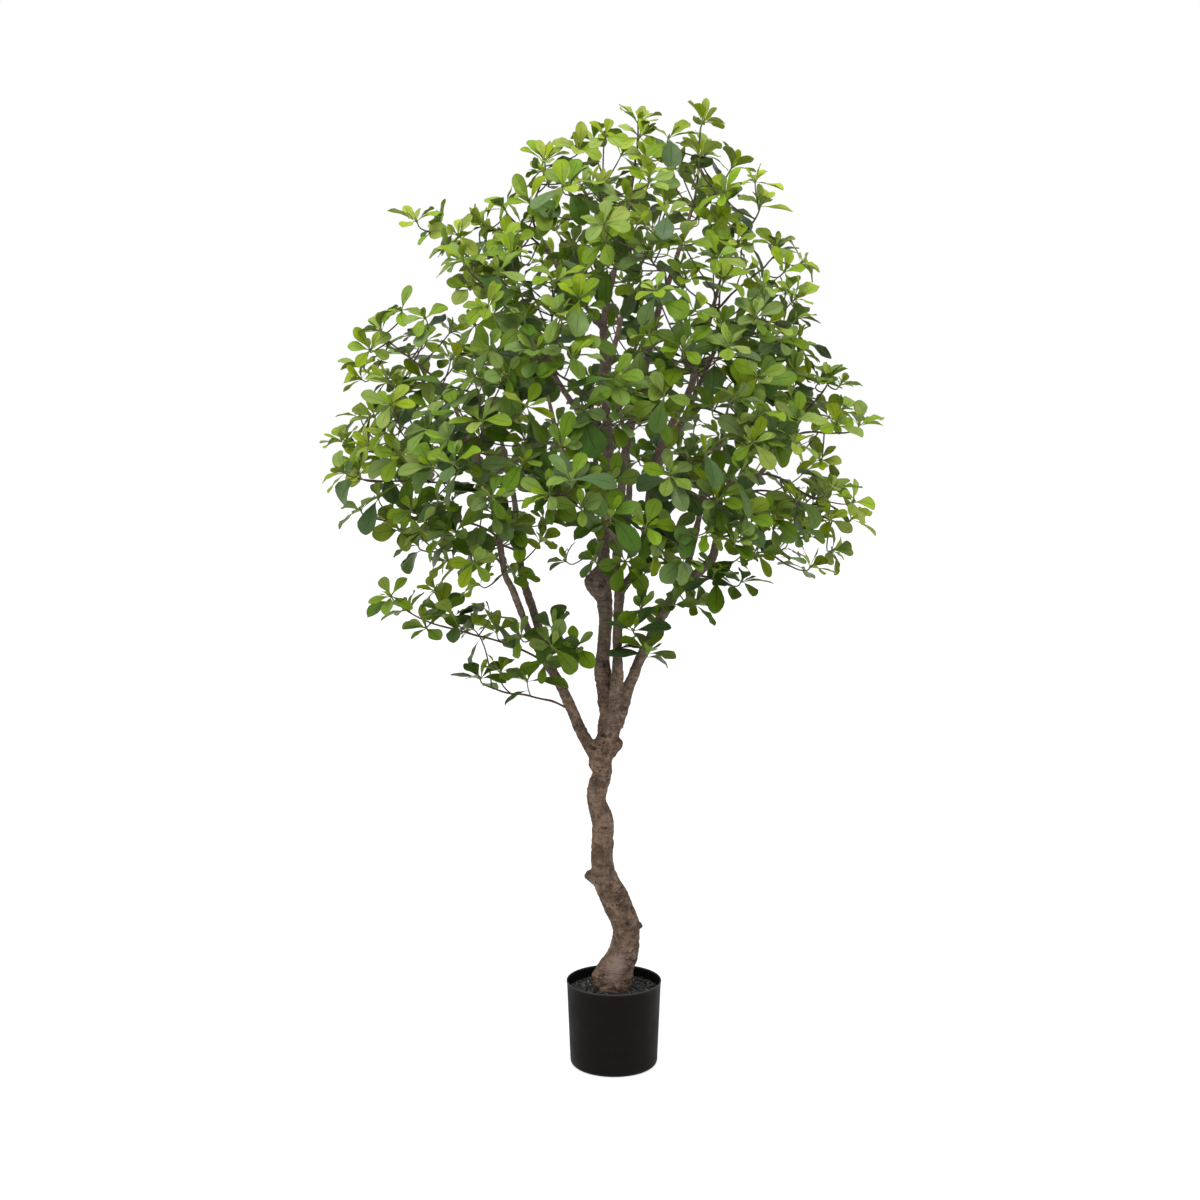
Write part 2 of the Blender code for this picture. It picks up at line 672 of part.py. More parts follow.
def make_pot(collection, material):
    """A thin-walled nursery pot, a little wider at the rim than at its rounded foot."""
    inner_foot = POT_FOOT_RADIUS - POT_WALL
    inner_rim = POT_RIM_RADIUS - POT_WALL
    foot = []
    for step in range(4):
        turn = math.radians(30 * step)
        inset = POT_FOOT_ROUND * (1 - math.cos(turn))
        foot.append((POT_FOOT_RADIUS - inset, POT_FOOT_ROUND * (1 - math.sin(turn))))
    profile = [
        (0, POT_FLOOR),
        (inner_foot - POT_FOOT_ROUND, POT_FLOOR),
        (inner_foot, POT_FLOOR + POT_FOOT_ROUND),
        (inner_rim, POT_HEIGHT - POT_LIP),
        (inner_rim + POT_LIP, POT_HEIGHT),
        (POT_RIM_RADIUS - POT_LIP, POT_HEIGHT),
        (POT_RIM_RADIUS, POT_HEIGHT - POT_LIP),
        *foot,
        (0, 0),
    ]
    return turned("pot", profile, collection, material)


def make_soil(collection, material, hole):
    """The soil fills the pot to just under its rim, with a plain hole for the trunk."""
    level = POT_HEIGHT - SOIL_DEPTH_BELOW_RIM
    lean = (POT_RIM_RADIUS - POT_FOOT_RADIUS) / (POT_HEIGHT - POT_FOOT_ROUND)
    foot_radius = POT_FOOT_RADIUS - POT_WALL - 2 * SEAT_GAP
    foot_height = POT_FLOOR + POT_FOOT_ROUND
    edge_radius = foot_radius + lean * (level - foot_height)
    profile = [
        (0, level + SOIL_MOUND),
        (edge_radius * SOIL_FLAT_SHARE, level + SOIL_MOUND),
        (edge_radius, level),
        (foot_radius, foot_height),
        (foot_radius - POT_FOOT_ROUND, POT_FLOOR + SEAT_GAP),
        (0, POT_FLOOR + SEAT_GAP),
    ]
    soil = turned("soil", profile, collection, material)
    cut = soil.modifiers.new("trunk hole", "BOOLEAN")
    cut.operation = "DIFFERENCE"
    cut.object = hole
    cut.solver = "EXACT"
    mesh = evaluated_mesh(soil)
    bpy.data.objects.remove(hole)
    return link("soil", mesh, collection, material)


def limb_tube(route, collection, roundness, growth=0):
    """A tube along a route of (x, y, z, radius), with growth added to every radius."""
    knots = metres(route)
    points = [knot.xyz for knot in knots]
    return tube(points, [knot[3] + growth for knot in knots], collection, roundness)


def make_trunk(collection, helpers, material):
    """The trunk, its limbs and its cut stubs, grown together in one solid."""
    for name, route in LIMBS.items():
        limb_tube(route, collection if name == "bole" else helpers, LIMB_ROUNDNESS.get(name, 1))
    for route in STUBS:
        limb_tube(route, helpers, 1)
    bole = collection.objects["tube"]
    trunk = fused("trunk", bole, helpers, collection, material)
    trunk.data.set_sharp_from_angle(angle=math.radians(60))
    trunk.data.shade_smooth()
    return trunk


def make_trunk_hole(collection):
    """The buried foot of the trunk, grown by the gap, for cutting the soil."""
    (x, y, z, radius), *rest = LIMBS["bole"][:4]
    foot = [(x, y, z - SEAT_GAP / MM, radius), *rest]
    return limb_tube(foot, collection, LIMB_ROUNDNESS["bole"], 2 * SEAT_GAP)


def clump_mesh(clump):
    """The hub and the solid leaves of a clump, as one thin sheet that is then given thickness."""
    shape = bmesh.new()
    first, second = hub_frame(clump)
    ring = []
    for corner in range(HUB_SLOTS):
        turn = math.tau * corner / HUB_SLOTS
        reach = (first * math.cos(turn) + second * math.sin(turn)) * HUB_RADIUS
        ring.append(shape.verts.new(clump["centre"] + reach))
    shape.faces.new(ring)
    for leaf in clump["leaves"]:
        if not leaf["solid"]:
            continue
        left, right = ring[leaf["slot"]], ring[(leaf["slot"] + 1) % HUB_SLOTS]
        stations = plain_stations(clump, leaf)
        for centre, side, _, half in stations[1:]:
            next_left = shape.verts.new(centre - side * half)
            next_right = shape.verts.new(centre + side * half)
            shape.faces.new((left, next_left, next_right))
            shape.faces.new((left, next_right, right))
            left, right = next_left, next_right
    bmesh.ops.triangulate(shape, faces=shape.faces)
    bmesh.ops.recalc_face_normals(shape, faces=shape.faces)
    mesh = bpy.data.meshes.new("clump")
    shape.to_mesh(mesh)
    shape.free()
    return mesh


def make_clump_solid(clump, collection):
    sheet = link("clump", clump_mesh(clump), collection)
    thick = sheet.modifiers.new("thickness", "SOLIDIFY")
    thick.thickness = BLADE_THICKNESS
    thick.offset = 0
    return link("clump", evaluated_mesh(sheet), collection)


def seated_route(stem, trunk_surface):
    """The stem's route with its root on the limb's surface instead of in the limb's middle."""
    outside = stem["route"][0] + stem["leave"] * SEAT_SEARCH
    spot, normal, _, _ = trunk_surface.ray_cast(outside, -stem["leave"])
    return [spot + normal * SEAT_GAP, spot + normal * STRAIGHT_ROOT] + stem["route"][1:]


def make_leafy_stem(name, stem, trunk_surface, collection, helpers, material):
    route = seated_route(stem, trunk_surface)
    first = tube(route, tapered(len(route), STEM_RADIUS), collection)
    for shoot in stem["shoots"]:
        tube(shoot, tapered(len(shoot), SHOOT_RADIUS), helpers)
    for clump in stem["clumps"]:
        make_clump_solid(clump, helpers)
    return fused(name, first, helpers, collection, material)


def main():
    clear_scene()
    parts = bpy.data.collections.new("potted aralia")
    helpers = bpy.data.collections.new("helpers")
    bpy.context.scene.collection.children.link(parts)
    bpy.context.scene.collection.children.link(helpers)
    make_pot(parts, make_material("black_plastic"))
    make_soil(parts, make_material("dark_soil"), make_trunk_hole(helpers))
    trunk = make_trunk(parts, helpers, make_material("bark"))
    trunk_surface = BVHTree.FromPolygons(
        [v.co.copy() for v in trunk.data.vertices], [tuple(p.vertices) for p in trunk.data.polygons]
    )
    leaf = make_material("leaf")
    for number, stem in enumerate(grow_crown(), 1):
        name = f"leafy_stem_{number:02d}"
        make_leafy_stem(name, stem, trunk_surface, parts, helpers, leaf)


main()
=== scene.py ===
# %% [markdown]
# # A potted aralia
#
# This lesson dresses a small indoor tree in a black nursery pot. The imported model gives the
# pot, the soil, the trunk and 51 leafy stems as plain solids. Each step below replaces one of
# them by the piece that the eye wants: a turned pot, crumbly soil, gnarled bark, thin twigs and
# some three thousand spoon-shaped leaves.
#
# The model is loaded first, because every piece has to sit where its solid sits. The box of the
# solids is kept, to compare it with the box of the finished tree at the end.

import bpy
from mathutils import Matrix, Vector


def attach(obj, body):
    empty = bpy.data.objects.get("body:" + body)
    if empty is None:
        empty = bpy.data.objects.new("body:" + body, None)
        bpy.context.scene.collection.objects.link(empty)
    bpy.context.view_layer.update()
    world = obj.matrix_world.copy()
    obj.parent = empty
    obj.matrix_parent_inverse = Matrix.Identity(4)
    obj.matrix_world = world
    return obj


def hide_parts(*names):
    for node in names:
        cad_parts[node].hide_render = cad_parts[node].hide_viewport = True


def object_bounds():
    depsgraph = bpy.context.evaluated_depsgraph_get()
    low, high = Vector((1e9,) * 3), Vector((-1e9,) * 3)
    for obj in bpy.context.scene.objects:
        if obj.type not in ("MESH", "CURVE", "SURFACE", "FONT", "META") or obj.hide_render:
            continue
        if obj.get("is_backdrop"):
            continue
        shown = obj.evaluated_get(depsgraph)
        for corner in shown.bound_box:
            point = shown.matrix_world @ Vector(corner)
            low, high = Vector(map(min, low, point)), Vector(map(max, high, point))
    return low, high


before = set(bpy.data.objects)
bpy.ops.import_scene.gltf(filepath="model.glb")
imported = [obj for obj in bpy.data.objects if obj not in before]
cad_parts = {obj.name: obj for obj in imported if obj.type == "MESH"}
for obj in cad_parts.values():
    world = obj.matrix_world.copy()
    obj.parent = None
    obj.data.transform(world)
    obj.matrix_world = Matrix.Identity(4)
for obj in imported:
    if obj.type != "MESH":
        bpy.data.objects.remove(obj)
SOLID_BOX = [list(corner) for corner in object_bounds()]

import math
import random

import bpy
import numpy as np
from mathutils import Vector, noise
from mathutils.bvhtree import BVHTree
from mathutils.kdtree import KDTree

MM = 0.001
print("nodes:", len(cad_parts))
print("box of the solids, mm:", [[round(value / MM) for value in corner] for corner in SOLID_BOX])

# %% [markdown]
# ## The camera
#
# The whole tree is seen from the front, from a little above the middle of its crown, so the soil
# in the pot just shows. A camera could be aimed with a constraint, but a fixed place and one
# angle are plainer, and they are all that this view needs: 3 m away, looking down 5.6 degrees.

# %% Place the camera
def put(name, data):
    """A new object that puts a camera, a lamp, a mesh or a curve into the scene."""
    thing = bpy.data.objects.new(name, data)
    bpy.context.scene.collection.objects.link(thing)
    return thing


CAMERA_PLACE = (-0.0264, -3.085, 1.19)
LOOKING_DOWN = 5.6

lens = bpy.data.cameras.new("camera")
lens.lens = 50
lens.sensor_width = 36
camera = put("camera", lens)
camera.location = CAMERA_PLACE
camera.rotation_euler = (math.radians(90 - LOOKING_DOWN), 0, 0)
bpy.context.scene.camera = camera
print("camera", tuple(round(value, 3) for value in camera.location))

# %% [markdown]
# ## Light and floor
#
# Catalogue light is soft and comes from everywhere, with more of it from above. A white world
# gives the even part, and one wide lamp over the front gives the upper sides of the leaves their
# glow and leaves the inside of the crown dark. A second lamp would cast a second set of shadows,
# so the one lamp does it all. The floor is a plain pale disc that is lit until it is as white as
# the world, so no horizon shows behind the tree.

# %% Light the studio
# The lamp's place and what it looks at, its side in metres and its power in watts.
LAMP_PLACE = Vector((-0.3, -1.4, 3.9))
LAMP_TARGET = Vector((0, 0, 1.2))
LAMP_SIDE = 2.0
LAMP_POWER = 104

light = bpy.data.lights.new("overhead", "AREA")
light.size = LAMP_SIDE
light.energy = LAMP_POWER
lamp = put("overhead", light)
lamp.location = LAMP_PLACE
lamp.rotation_euler = (LAMP_TARGET - LAMP_PLACE).to_track_quat("-Z", "Y").to_euler()

world = bpy.data.worlds.new("studio")
world.use_nodes = True
background = world.node_tree.nodes["Background"]
background.inputs["Color"].default_value = (1, 1, 1, 1)
background.inputs["Strength"].default_value = 1.0
bpy.context.scene.world = world
bpy.context.scene.view_settings.view_transform = "Standard"
print("world and one lamp")

# %% [markdown]
# ## Materials from nodes
#
# Every finish below is made of shader nodes. One small helper adds a node, sets its fields and
# links its inputs, and a few more stand on it, so that a material reads from top to bottom like a
# recipe.

# %% A helper for shader nodes
def start_material(name, roughness, specular):
    """A new material with its Principled shader, and the tree that holds it."""
    material = bpy.data.materials.new(name)
    material.use_nodes = True
    tree = material.node_tree
    shader = tree.nodes["Principled BSDF"]
    shader.inputs["Roughness"].default_value = roughness
    shader.inputs["Specular IOR Level"].default_value = specular
    return material, tree, shader


def feed(tree, socket, value):
    """Links a socket to another's output, or sets its value."""
    if isinstance(value, bpy.types.NodeSocket):
        tree.links.new(value, socket)
    else:
        socket.default_value = value


def add(tree, kind, inputs=None, **fields):
    """Adds a node. Inputs are given by name or number, and fields are the node's own settings."""
    made = tree.nodes.new("ShaderNode" + kind)
    for field, value in fields.items():
        setattr(made, field, value)
    for name, value in (inputs or {}).items():
        feed(tree, made.inputs[name], value)
    return made


def sums(tree, operation, *values):
    """The result of a Math node."""
    return add(tree, "Math", dict(enumerate(values)), operation=operation).outputs[0]


def times(tree, first, second):
    """The product of two values."""
    return sums(tree, "MULTIPLY", first, second)


def own_place(tree):
    """Where each point of a piece lies, in metres."""
    return add(tree, "TexCoord").outputs["Object"]


def stored(tree, name):
    """A number that the mesh keeps for each of its points."""
    return add(tree, "Attribute", attribute_name=name).outputs["Fac"]


def coordinate(tree, vector, axis):
    """One coordinate of a vector."""
    return add(tree, "SeparateXYZ", {"Vector": vector}).outputs[axis]


def fade(tree, value, low, high, start=0.0, end=1.0):
    """Maps a value between low and high to a smooth step from start to end."""
    inputs = {"Value": value, "From Min": low, "From Max": high, "To Min": start, "To Max": end}
    return add(tree, "MapRange", inputs, interpolation_type="SMOOTHSTEP").outputs["Result"]


def mix(tree, share, first, second, blend="MIX"):
    """Mixes two colours."""
    made = add(tree, "Mix", data_type="RGBA", blend_type=blend)
    feed(tree, made.inputs["Factor"], share)
    for socket, colour in ((made.inputs[6], first), (made.inputs[7], second)):
        feed(tree, socket, colour if isinstance(colour, bpy.types.NodeSocket) else (*colour, 1))
    return made.outputs[2]


def coat(tree, under, share, strength, colour, blend="MIX"):
    """Lays a coat of a colour over what is there, as dense as a share times a strength."""
    return mix(tree, times(tree, share, strength), under, colour, blend)


def cloud(tree, place, scale, detail=3.0, rough=0.55):
    """Noise between about 0.25 and 0.75 at a scale in spots for each metre."""
    inputs = {"Vector": place, "Scale": scale, "Detail": detail, "Roughness": rough}
    return add(tree, "TexNoise", inputs).outputs["Fac"]


def bump(tree, height, distance, strength=1.0, under=None):
    """A bump of a real height in metres. Under is a bump that this one lies on."""
    inputs = {"Height": height, "Distance": distance, "Strength": strength}
    if under:
        inputs["Normal"] = under
    return add(tree, "Bump", inputs).outputs["Normal"]


def dress(tree, shader, colour, roughness=None, normal=None):
    """Links a colour to the shader, and a roughness and a relief where there are some."""
    for name, value in (("Base Color", colour), ("Roughness", roughness), ("Normal", normal)):
        if value is not None:
            feed(tree, shader.inputs[name], value)


print("helpers ready")

# %% [markdown]
# The floor is the first material: plain white paper on a light table. Most of its white is its own
# glow, which keeps it as white as the world all the way out, and leaves only a breath of a shadow
# under the pot.

# %% Lay the floor
FLOOR_RADIUS = 40
FLOOR_SIDES = 64

paper, tree, shader = start_material("white_paper", 0.9, 0.1)
shader.inputs["Base Color"].default_value = (0.4, 0.4, 0.4, 1)
shader.inputs["Emission Color"].default_value = (1, 1, 1, 1)
shader.inputs["Emission Strength"].default_value = 0.72
turns = [math.tau * k / FLOOR_SIDES for k in range(FLOOR_SIDES)]
edge = [(FLOOR_RADIUS * math.cos(turn), FLOOR_RADIUS * math.sin(turn), 0) for turn in turns]
floor_mesh = bpy.data.meshes.new("floor")
floor_mesh.from_pydata(edge, [], [tuple(range(FLOOR_SIDES))])
floor_mesh.materials.append(paper)
floor = put("floor", floor_mesh)
floor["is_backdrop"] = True
print("floor", 2 * FLOOR_RADIUS, "m across")

# %% [markdown]
# ## Putting a piece into the model
#
# A finished mesh becomes a piece in one way here: it gets its material, it rides on the model's
# only body, and the solid that it stands for is hidden.

# %% A helper for pieces
def show(name, mesh, materials, node):
    """Links a mesh as a piece that replaces a solid."""
    mesh.materials.clear()
    for material in materials:
        mesh.materials.append(material)
    piece = put(name, mesh)
    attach(piece, "root")
    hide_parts(node)


def finished(draft):
    """The mesh that a draft has with its modifiers. The draft itself goes."""
    bpy.context.view_layer.update()
    graph = bpy.context.evaluated_depsgraph_get()
    mesh = bpy.data.meshes.new_from_object(draft.evaluated_get(graph))
    bpy.data.objects.remove(draft)
    return mesh


def triangles(mesh):
    """How many triangles a mesh has when each face is cut into them."""
    return sum(len(face.vertices) - 2 for face in mesh.polygons)


# %% [markdown]
# ## The pot
#
# A nursery pot is blown or moulded in one thin wall: nearly straight sides that widen a little to
# the rim, a bead along the lip, a rounded foot and a shallow ring to stand on. A shape that is
# round all the way is best drawn as half of its outline and turned with the Screw modifier. That
# gives clean rings of faces, and the lip can be as thin as the real one.

# %% Turn the pot
# Sizes of the pot in millimetres, and how many flat sides it has round it.
POT_HEIGHT = 163
POT_RIM = 90
POT_FOOT = 83
FOOT_ROUND = 9
WALL = 2.2
POT_SIDES = 128

inner_foot, inner_rim, flat_foot = POT_FOOT - WALL, POT_RIM - WALL, POT_FOOT - FOOT_ROUND
# Radius and height of each corner: over the floor inside, up the wall and round the lip.
outline = [
    (0, 3.2), (60, 3.2), (inner_foot - 6, 3.6), (inner_foot - 1.5, 6), (inner_foot, 11),
    (inner_rim - 0.6, 150), (inner_rim - 0.2, 158), (inner_rim + 0.1, 161.6),
    (inner_rim + 0.7, 162.7), (POT_RIM - 1.2, POT_HEIGHT), (POT_RIM - 0.5, 162.7),
    (POT_RIM, 161.8), (POT_RIM, 160.4), (POT_RIM - 0.4, 159.4), (POT_RIM - 0.75, 158.6),
]
# Down the outside, round the foot, and in under the pot.
for height in range(150, 10, -10):
    outline.append((POT_FOOT + (POT_RIM - 0.8 - POT_FOOT) * (height - FOOT_ROUND) / 150, height))
for step in range(7):
    turn = math.radians(90 * step / 6)
    inward = FOOT_ROUND * (1 - math.cos(turn))
    outline.append((POT_FOOT - inward, FOOT_ROUND * (1 - math.sin(turn))))
outline += [(flat_foot - 2, 0), (flat_foot - 4, 1.2), (0, 1.2)]

pot_line = bpy.data.meshes.new("pot")
corners = [(radius * MM, 0, height * MM) for radius, height in outline]
pot_line.from_pydata(corners, [(k, k + 1) for k in range(len(corners) - 1)], [])
pot_shape = put("pot_outline", pot_line)
turned = pot_shape.modifiers.new("turned", "SCREW")
turned.steps = turned.render_steps = POT_SIDES
turned.use_merge_vertices = True
turned.merge_threshold = 0.01 * MM
pot_mesh = finished(pot_shape)
pot_mesh.shade_smooth()
pot_mesh.set_sharp_from_angle(angle=math.radians(55))
print("pot triangles:", triangles(pot_mesh))

# %% [markdown]
# The plastic is matt black. Up close it isn't one flat colour: the mould leaves a fine grain,
# there are faint bands round the wall from the blowing, and the wall turns a little warmer and
# greyer where dust and scuffs lie. A thin painted highlight runs along the top of the lip. The
# bands come from noise that is stretched round the pot, and the lip's painted highlight comes
# from the height alone.

# %% Black plastic
plastic, tree, shader = start_material("black_plastic", 0.6, 0.1)
shader.inputs["Specular Tint"].default_value = (1.0, 0.93, 0.86, 1)
place = own_place(tree)
flat_place = add(tree, "Mapping", {"Vector": place, "Scale": (0.25, 0.25, 1.0)}).outputs[0]
bands = cloud(tree, flat_place, 60, 2)
dust = cloud(tree, place, 22, 4, 0.6)
lip_highlight = fade(tree, coordinate(tree, place, "Z"), 0.1592, 0.1622)
black = mix(tree, fade(tree, dust, 0.4, 0.68), (0.0015, 0.0015, 0.0016), (0.0036, 0.0029, 0.0025))
black = coat(tree, black, fade(tree, bands, 0.45, 0.6), 0.2, (0.0055, 0.0045, 0.0040))
# Painted highlight: a lighter grey along the top of the lip.
black = coat(tree, black, lip_highlight, 0.8, (0.045, 0.045, 0.047))
grain = bump(tree, cloud(tree, place, 900, 2), 0.00012, 0.6)
roughness = fade(tree, dust, 0.35, 0.7, 0.55, 0.68)
dress(tree, shader, black, roughness, bump(tree, bands, 0.0006, 0.5, grain))
show("nursery_pot", pot_mesh, [plastic], "pot")
print("pot in place")

# %% [markdown]
# ## The trunk's routes
#
# The trunk is a crooked bole that forks at about 65 cm and keeps forking. Each limb is a route of
# points, in millimetres, with the limb's radius as the fourth number. They are the routes that
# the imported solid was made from. Short stubs and knots are routes too. The fourth of them, the big
# knob on the leader, is a little fuller here than on the solid, and the last one is the bulge at
# the left of the foot, which the solid has only in part.

# %% Routes of the limbs
LIMBS = {
    "bole": (
        (-4, 0, 42, 33), (-4, 0, 128, 34), (-4, 0, 150, 36), (6, 0, 185, 33), (19, -2, 216, 28),
        (23, -4, 246, 26.5), (21, -5, 274, 26.5), (11, -4, 302, 27), (-3, -2, 330, 27),
        (-17, 2, 360, 24), (-22, 5, 386, 21.5), (-22, 6, 425, 21), (-21, 5, 464, 20.5),
        (-29, 2, 493, 19), (-33, -2, 513, 18), (-30, -4, 538, 19.5), (-22, -2, 561, 18.5),
        (-25, 0, 582, 22), (-22, 0, 604, 24), (-12, 0, 628, 21), (-8, -1, 654, 22.5),
        (-5, -1, 674, 21.5), (-3, -1, 692, 16),
    ),
    "left": (
        (-26, 0, 585, 14), (-43, -2, 607, 13), (-61, -4, 640, 11.3), (-73, -7, 668, 10.8),
        (-98, -16, 726, 10), (-126, -23, 777, 10), (-142, -26, 806, 9.5),
    ),
    "left_outer": (
        (-136, -25, 796, 8), (-158, -32, 834, 7), (-184, -46, 905, 6.8), (-200, -54, 941, 6.4),
        (-208, -63, 995, 6), (-215, -70, 1047, 5.6), (-241, -82, 1136, 5), (-285, -96, 1240, 3.5),
    ),
    "left_inner": (
        (-134, -22, 792, 9), (-140, -8, 834, 8.6), (-164, 15, 905, 8), (-175, 30, 945, 7.5),
        (-182, 60, 1020, 6.5), (-195, 95, 1100, 5.5), (-225, 135, 1220, 3.5),
    ),
    "leader": (
        (-8, 2, 655, 17), (-17, 4, 692, 13.5), (-18.5, 6, 714, 13.5), (-21.5, 8, 745, 16.5),
        (-21.5, 12, 773, 14), (-18, 15, 808, 12.8), (-16, 17, 850, 13.4), (-18, 18, 888, 15),
        (-20, 18, 914, 15.5), (-21, 19, 944, 13), (-19, 20, 977, 11),
        (-14, 24, 1060, 10), (-10, 26, 1153, 9.5), (-16, 22, 1250, 8.5), (-20, 18, 1352, 7.5),
        (-18, 14, 1410, 6.5), (0, 8, 1490, 5), (20, 0, 1570, 4), (30, -6, 1630, 3.2),
    ),
    "middle": (
        (-2, -4, 662, 15), (2.5, -10, 704, 13), (5.5, -14, 748, 12.2), (6, -16, 778, 9.8),
        (6, -19, 826, 9.3), (8, -23, 872, 9.4), (10, -26, 915, 10),
    ),
    "middle_left": (
        (10, -25, 905, 9), (4, -34, 950, 8.4), (6, -39, 1010, 8), (12, -41, 1080, 8),
        (20, -43, 1165, 8), (45, -46, 1270, 7.2), (58, -46, 1324, 6.8), (82, -44, 1428, 6),
        (100, -40, 1475, 5), (140, -25, 1600, 3.4),
    ),
    "middle_right": (
        (9, -24, 900, 8), (30, -18, 932, 7.5), (48, -6, 962, 7.2), (60, 12, 1020, 7.2),
        (66, 30, 1085, 7.2), (76, 46, 1140, 7.4), (97, 60, 1192, 7.4), (142, 80, 1276, 7),
        (153, 88, 1317, 6.4), (170, 96, 1370, 5.4), (200, 110, 1480, 3.4),
    ),
    "right": (
        (2, -2, 652, 16), (15, -4, 690, 13.5), (26, -5, 722, 11), (37, -7, 750, 10.6),
        (48, -9, 777, 9.9), (77, -18, 840, 9.5), (94, -24, 871, 10), (120, -33, 912, 9.6),
        (174, -44, 962, 8.5), (187, -48, 1002, 8), (202, -50, 1034, 7), (250, -48, 1105, 5.4),
        (290, -44, 1153, 4.6), (345, -36, 1230, 3.4),
    ),
    "back": (
        (-18, 17, 872, 9), (-10, 46, 915, 8), (5, 80, 960, 7.5), (20, 120, 1010, 7),
        (30, 160, 1070, 6.4), (28, 205, 1150, 5.4), (10, 255, 1265, 3.6),
    ),
    "back_left": (
        (-18, 21, 985, 8), (-40, 48, 1035, 7), (-70, 82, 1092, 6.2), (-105, 130, 1180, 5.2),
        (-130, 180, 1280, 3.6),
    ),
    "back_right": (
        (118, -33, 905, 8), (135, -5, 950, 7), (152, 38, 1005, 6.5), (167, 82, 1060, 6),
        (205, 155, 1170, 4.6), (222, 190, 1240, 3.4),
    ),
    "front": (
        (7, -38, 990, 7.5), (-5, -62, 1024, 6.8), (-20, -97, 1065, 6.2), (-32, -132, 1115, 5.4),
        (-36, -190, 1220, 3.6),
    ),
    "front_left": (
        (-11, 25, 1150, 7), (-34, -2, 1192, 6.2), (-68, -32, 1238, 5.6), (-104, -62, 1292, 5),
        (-165, -100, 1400, 3.4),
    ),
    "front_right": (
        (70, 42, 1120, 6.6), (94, 16, 1160, 6.2), (120, -22, 1210, 5.6), (146, -66, 1268, 5),
        (190, -135, 1375, 3.4),
    ),
    "high_back": (
        (-18, 19, 1290, 7), (-9, 52, 1332, 6), (6, 88, 1378, 5.4), (30, 150, 1490, 3.6),
    ),
    "high_left": (
        (-19, 15, 1385, 6), (-48, 9, 1422, 5.2), (-84, 4, 1466, 4.6), (-140, -5, 1560, 3.4),
    ),
}
STUBS = (
    ((-14, 2, 345, 17), (-38, 0, 361, 12), (-50, -1, 367, 9.5), (-54, -1, 369, 6)),
    ((20, -5, 262, 14), (43, -8, 268, 8), (53, -9, 272, 5)),
    ((-10, 0, 602, 15), (5, -2, 615, 11), (11, -3, 622, 8.5), (14, -3, 625, 4.5)),
    (
        (-20, 17, 893, 15), (-27, 14, 906, 21), (-32, 12, 918, 24), (-29, 13, 930, 20),
        (-23, 16, 944, 13),
    ),
    ((4, -8, 679, 15), (15, -11, 686, 13), (20, -12, 690, 8)),
    ((-20, 4, 446, 16), (-12, -14, 452, 10), (-9, -20, 455, 7)),
    (
        (-9, -2, 138, 26), (-13, -3, 152, 27.5), (-15, -3, 166, 27), (-10, -2, 182, 24),
        (0, 0, 198, 20),
    ),
)
print("limbs:", len(LIMBS), "stubs:", len(STUBS))

# %% [markdown]
# A route with corners would give a limb with elbows. A Catmull-Rom curve passes through every
# point and turns smoothly between them, and it carries the radius along as a fourth coordinate.

# %% Smooth the routes
def metres(route):
    """The route's knots in metres, as vectors of x, y, z and radius."""
    return [Vector(knot) * MM for knot in route]


def smoothed(knots, spacing):
    """Points about one spacing apart on the Catmull-Rom curve through the knots."""
    rounded = []
    padded = [knots[0] * 2 - knots[1]] + knots + [knots[-1] * 2 - knots[-2]]
    for before, a, b, after in zip(padded, padded[1:], padded[2:], padded[3:]):
        steps = max(2, round((b - a).xyz.length / spacing))
        for k in range(steps):
            t = k / steps
            point = a * 2 + (b - before) * t + (before * 2 - a * 5 + b * 4 - after) * t * t
            point += (a * 3 - before - b * 3 + after) * t**3
            rounded.append(point * 0.5)
    return rounded + [knots[-1]]


def tube_curve(name, routes, roundness):
    """A curve object with one capped tube for each route of x, y, z and radius."""
    curve = bpy.data.curves.new(name, "CURVE")
    curve.dimensions = "3D"
    curve.bevel_depth = 1
    curve.bevel_resolution = roundness
    curve.use_fill_caps = True
    for route in routes:
        line = curve.splines.new("POLY")
        line.points.add(len(route) - 1)
        for knot, point in zip(line.points, route):
            knot.co = (*point.xyz, 1)
            knot.radius = point[3]
    return put(name, curve)


limb_routes = [smoothed(metres(route), 5 * MM) for route in LIMBS.values()]
stub_routes = [smoothed(metres(route), 4 * MM) for route in STUBS]
print("points on the limbs:", sum(len(route) for route in limb_routes))

# %% [markdown]
# ## The trunk's flesh
#
# Limbs grow out of each other with a soft fillet and a crease in the crotch. Tubes that only
# cross would show a hard line there. The voxel remesh melts all the tubes into one skin, and a
# little smoothing rounds the crossings like living wood.

# %% Melt the limbs together
# The side of a voxel: fine enough for the pits, and coarse enough to be quick.
VOXEL = 1.9 * MM

tubes = finished(tube_curve("limbs", limb_routes + stub_routes, 5))
trunk_shape = put("trunk_shape", tubes)
melted = trunk_shape.modifiers.new("melted", "REMESH")
melted.mode = "VOXEL"
melted.voxel_size = VOXEL
softened = trunk_shape.modifiers.new("softened", "SMOOTH")
softened.factor = 0.5
softened.iterations = 5
trunk_mesh = finished(trunk_shape)
print("skin points:", len(trunk_mesh.vertices))
